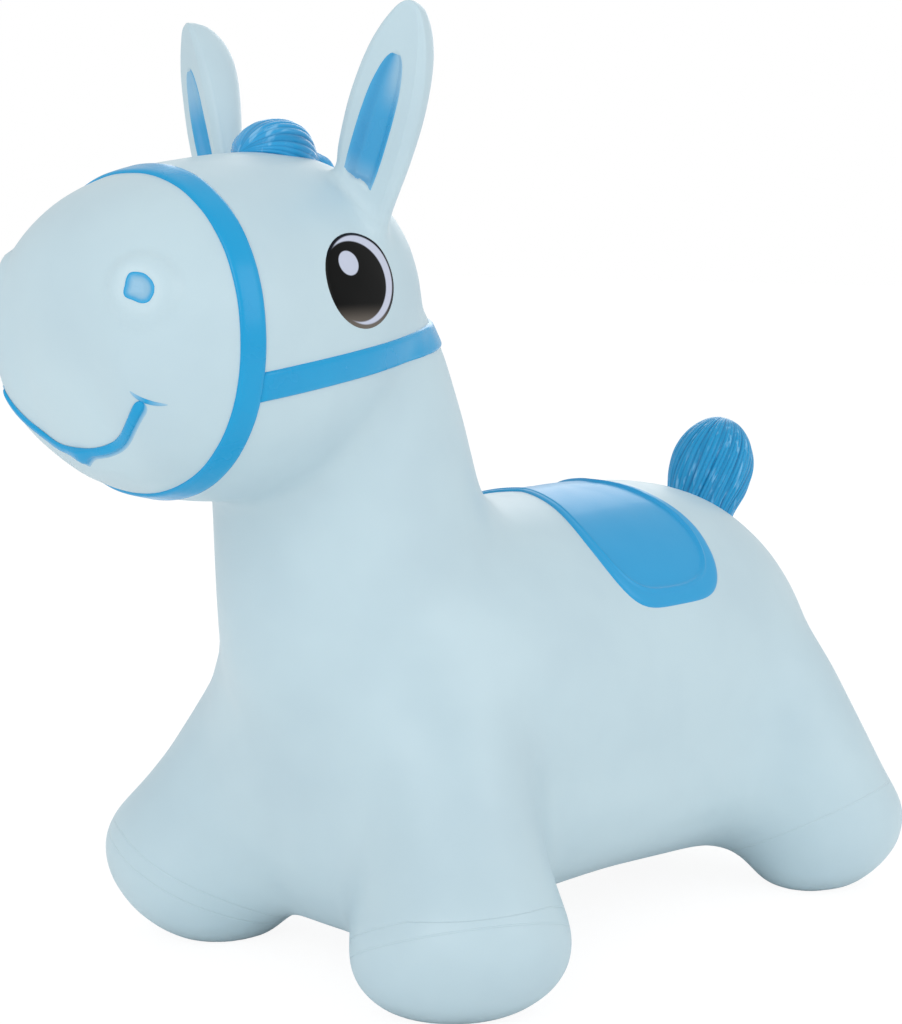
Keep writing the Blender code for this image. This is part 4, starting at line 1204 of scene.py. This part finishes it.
def hair_material(name, colour, deep, lean, streaks):
    """Moulded hair in gloss paint, with painted shade darkening its grooves and
    painted highlights streaked pale along its crests.
    """
    hair, spot = new_material(name)
    combed = add_node(hair, "ShaderNodeMapping", {
        "Vector": spot, "Rotation": (lean, 0, 0), "Scale": streaks,
    }, vector_type="TEXTURE")
    streak = add_node(hair, "ShaderNodeTexNoise", {
        "Vector": combed.outputs[0], "Scale": across_mm(STREAK_SIZE), "Detail": 2,
    })
    hollow = add_node(hair, "ShaderNodeAttribute", attribute_name="strand")
    lit = add_node(hair, "ShaderNodeMapRange",
                   {"Value": hollow.outputs["Fac"], "From Min": 0.25, "From Max": 0.8})
    bright = add_node(hair, "ShaderNodeMapRange", {
        "Value": streak.outputs[0], "From Min": 0.56, "From Max": 0.7, "To Max": 0.6,
    })
    shine = add_node(hair, "ShaderNodeMath",
                     {0: bright.outputs[0], 1: lit.outputs[0]}, operation="MULTIPLY")
    # Painted shade: darker blue down in the grooves
    groove_shaded_hair = add_node(hair, "ShaderNodeMix", {
        "Factor": lit.outputs[0], 6: linear(deep), 7: linear(colour),
    }, data_type="RGBA")
    # Painted highlights: pale streaks along the crests
    highlighted_hair = add_node(hair, "ShaderNodeMix", {
        "Factor": shine.outputs[0], 6: groove_shaded_hair.outputs[2], 7: linear(HAIR_PAINTED_HIGHLIGHT),
    }, data_type="RGBA")
    hair_bump = add_node(hair, "ShaderNodeBump", {
        "Strength": 0.15, "Distance": 0.4 * MM, "Height": streak.outputs[0],
    })
    hair_shader = add_node(hair, "ShaderNodeBsdfPrincipled", {
        "Base Color": highlighted_hair.outputs[2], "Roughness": 0.26, "IOR": 1.5,
        "Specular IOR Level": 0.3, "Coat Weight": 0.1, "Coat Roughness": 0.1,
        "Normal": hair_bump.outputs[0],
    })
    add_node(hair, "ShaderNodeOutputMaterial", {"Surface": hair_shader.outputs[0]})
    return hair


forelock_paint = hair_material("combed moulded hair", HAIR_BLUE, HAIR_GROOVE_SHADE, 0, FORELOCK_STREAKS)
forelock_low, forelock_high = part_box("forelock")


def forelock_place(along):
    """The forelock's ring at a share of its length, on the top of the head."""
    level = forelock_low.y + along * (forelock_high.y - forelock_low.y)
    wide, high = shares_at(FORELOCK_ROWS, along)
    start = Vector((0, level, forelock_high.z + FORELOCK_CAST))
    ground, normal = cast(whole_tree, start, Vector((0, 0, -1)))
    rise = max(FORELOCK_LEAST, high * (forelock_high.z - ground.z))
    return ground, Vector((wide * FORELOCK_WIDTH / 2, 0, 0)), Vector((0, 0, rise))


forelock = tuft(forelock_place, FORELOCK_SIDES, FORELOCK_RINGS, FORELOCK_LOCKS, FORELOCK_FINE,
                FORELOCK_TWIST)
seat(forelock)
new_piece("forelock_hair", forelock, "skin", "paint", "forelock", material=forelock_paint)

# Tail
# A fat combed tuft that stands on the rump and leans back. Its strands sweep up
# with a slight twist, and are moulded and painted as the forelock's are.
TAIL_PLACE = 233.6 * MM
TAIL_CAST = 400 * MM
TAIL_LENGTH = 64 * MM
TAIL_SINK = 14 * MM
TAIL_RADIUS = 26.5 * MM
TAIL_LEAN = math.radians(26)
TAIL_LOCKS = 15
TAIL_FINE = 48
TAIL_TWIST = -0.08
TAIL_SIDES = 480
TAIL_RINGS = 90
TAIL_STREAKS = (1, 1, 7)
# The tail's blue and the painted shade in its grooves
TAIL_BLUE = "#1597CE"
TAIL_GROOVE_SHADE = "#0576AC"
# Rows: up the tail, radius
TAIL_ROWS = (
    (0.00, 0.80), (0.22, 0.84), (0.42, 0.97), (0.58, 1.00), (0.70, 0.94), (0.80, 0.82),
    (0.88, 0.66), (0.94, 0.48), (0.98, 0.28), (1.00, 0.04),
)

root, normal = cast(whole_tree, Vector((0, TAIL_PLACE, TAIL_CAST)), Vector((0, 0, -1)))
tail_frame = Matrix.Translation(root) @ Matrix.Rotation(-TAIL_LEAN, 4, "X")


def tail_place(along):
    """The tail's ring at a share of its length, square to its lean."""
    centre = tail_frame @ Vector((0, 0, along * (TAIL_LENGTH + TAIL_SINK) - TAIL_SINK))
    radius = shares_at(TAIL_ROWS, along)[0] * TAIL_RADIUS
    turn = tail_frame.to_3x3()
    return centre, turn @ Vector((radius, 0, 0)), turn @ Vector((0, radius, 0))


tail_paint = hair_material("combed moulded tail hair", TAIL_BLUE, TAIL_GROOVE_SHADE, -TAIL_LEAN,
                           TAIL_STREAKS)
tail = tuft(tail_place, TAIL_SIDES, TAIL_RINGS, TAIL_LOCKS, TAIL_FINE, TAIL_TWIST)
seat(tail)
new_piece("tail_hair", tail, "skin", "paint", "tail", material=tail_paint)

# Studio
# A white floor with a soft shadow, an even white sky, one broad lamp in front and
# two weaker ones from the side and behind.
WHITE = "#FFFFFF"
FLOOR_SIZE = 12
FLOOR_GLOW = 1.06
FLOOR_GLOW_SHARE = 0.86
SKY_STRENGTH = 0.76
LAMP_TARGET = Vector((0, 0, 0.2))
# Name, place, width in metres, watts
LAMPS = (
    ("key", (0.7, -1.9, 1.2), 1.3, 10),
    ("fill", (1.8, 0.6, 1.1), 1.2, 6),
    ("rear", (-1.3, 1.6, 1.2), 1.3, 8),
)

floor_bm = bmesh.new()
bmesh.ops.create_grid(floor_bm, x_segments=1, y_segments=1, size=FLOOR_SIZE)
floor = new_piece("floor", floor_bm, None, None)
floor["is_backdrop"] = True
paper, spot = new_material("studio paper")
matte = add_node(paper, "ShaderNodeBsdfDiffuse", {"Color": linear(WHITE)})
bright = add_node(paper, "ShaderNodeEmission", {"Color": linear(WHITE), "Strength": FLOOR_GLOW})
rays = add_node(paper, "ShaderNodeLightPath")
seen = add_node(paper, "ShaderNodeMath",
                {0: rays.outputs["Is Camera Ray"], 1: FLOOR_GLOW_SHARE}, operation="MULTIPLY")
sheet = add_node(paper, "ShaderNodeMixShader",
                 {0: seen.outputs[0], 1: matte.outputs[0], 2: bright.outputs[0]})
add_node(paper, "ShaderNodeOutputMaterial", {"Surface": sheet.outputs[0]})
floor.data.materials.append(paper)

world = bpy.data.worlds.new("studio")
bpy.context.scene.world = world
world.use_nodes = True
world.node_tree.nodes.clear()
rays = add_node(world, "ShaderNodeLightPath")
shown = add_node(world, "ShaderNodeMath", {
    0: rays.outputs["Is Camera Ray"], 1: rays.outputs["Is Transmission Ray"],
}, operation="MAXIMUM")
strength = add_node(world, "ShaderNodeMapRange", {
    "Value": shown.outputs[0], "To Min": SKY_STRENGTH,
})
sky = add_node(world, "ShaderNodeBackground",
               {"Color": linear(WHITE), "Strength": strength.outputs[0]})
add_node(world, "ShaderNodeOutputWorld", {"Surface": sky.outputs[0]})
for name, place, width, watts in LAMPS:
    lamp = bpy.data.objects.new(name, bpy.data.lights.new(name, "AREA"))
    bpy.context.scene.collection.objects.link(lamp)
    lamp.data.shape = "SQUARE"
    lamp.data.size = width
    lamp.data.energy = watts
    lamp.location = place
    lamp.rotation_euler = (LAMP_TARGET - Vector(place)).to_track_quat("-Z", "Y").to_euler()

bpy.context.scene.view_settings.view_transform = "Standard"
low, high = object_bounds()
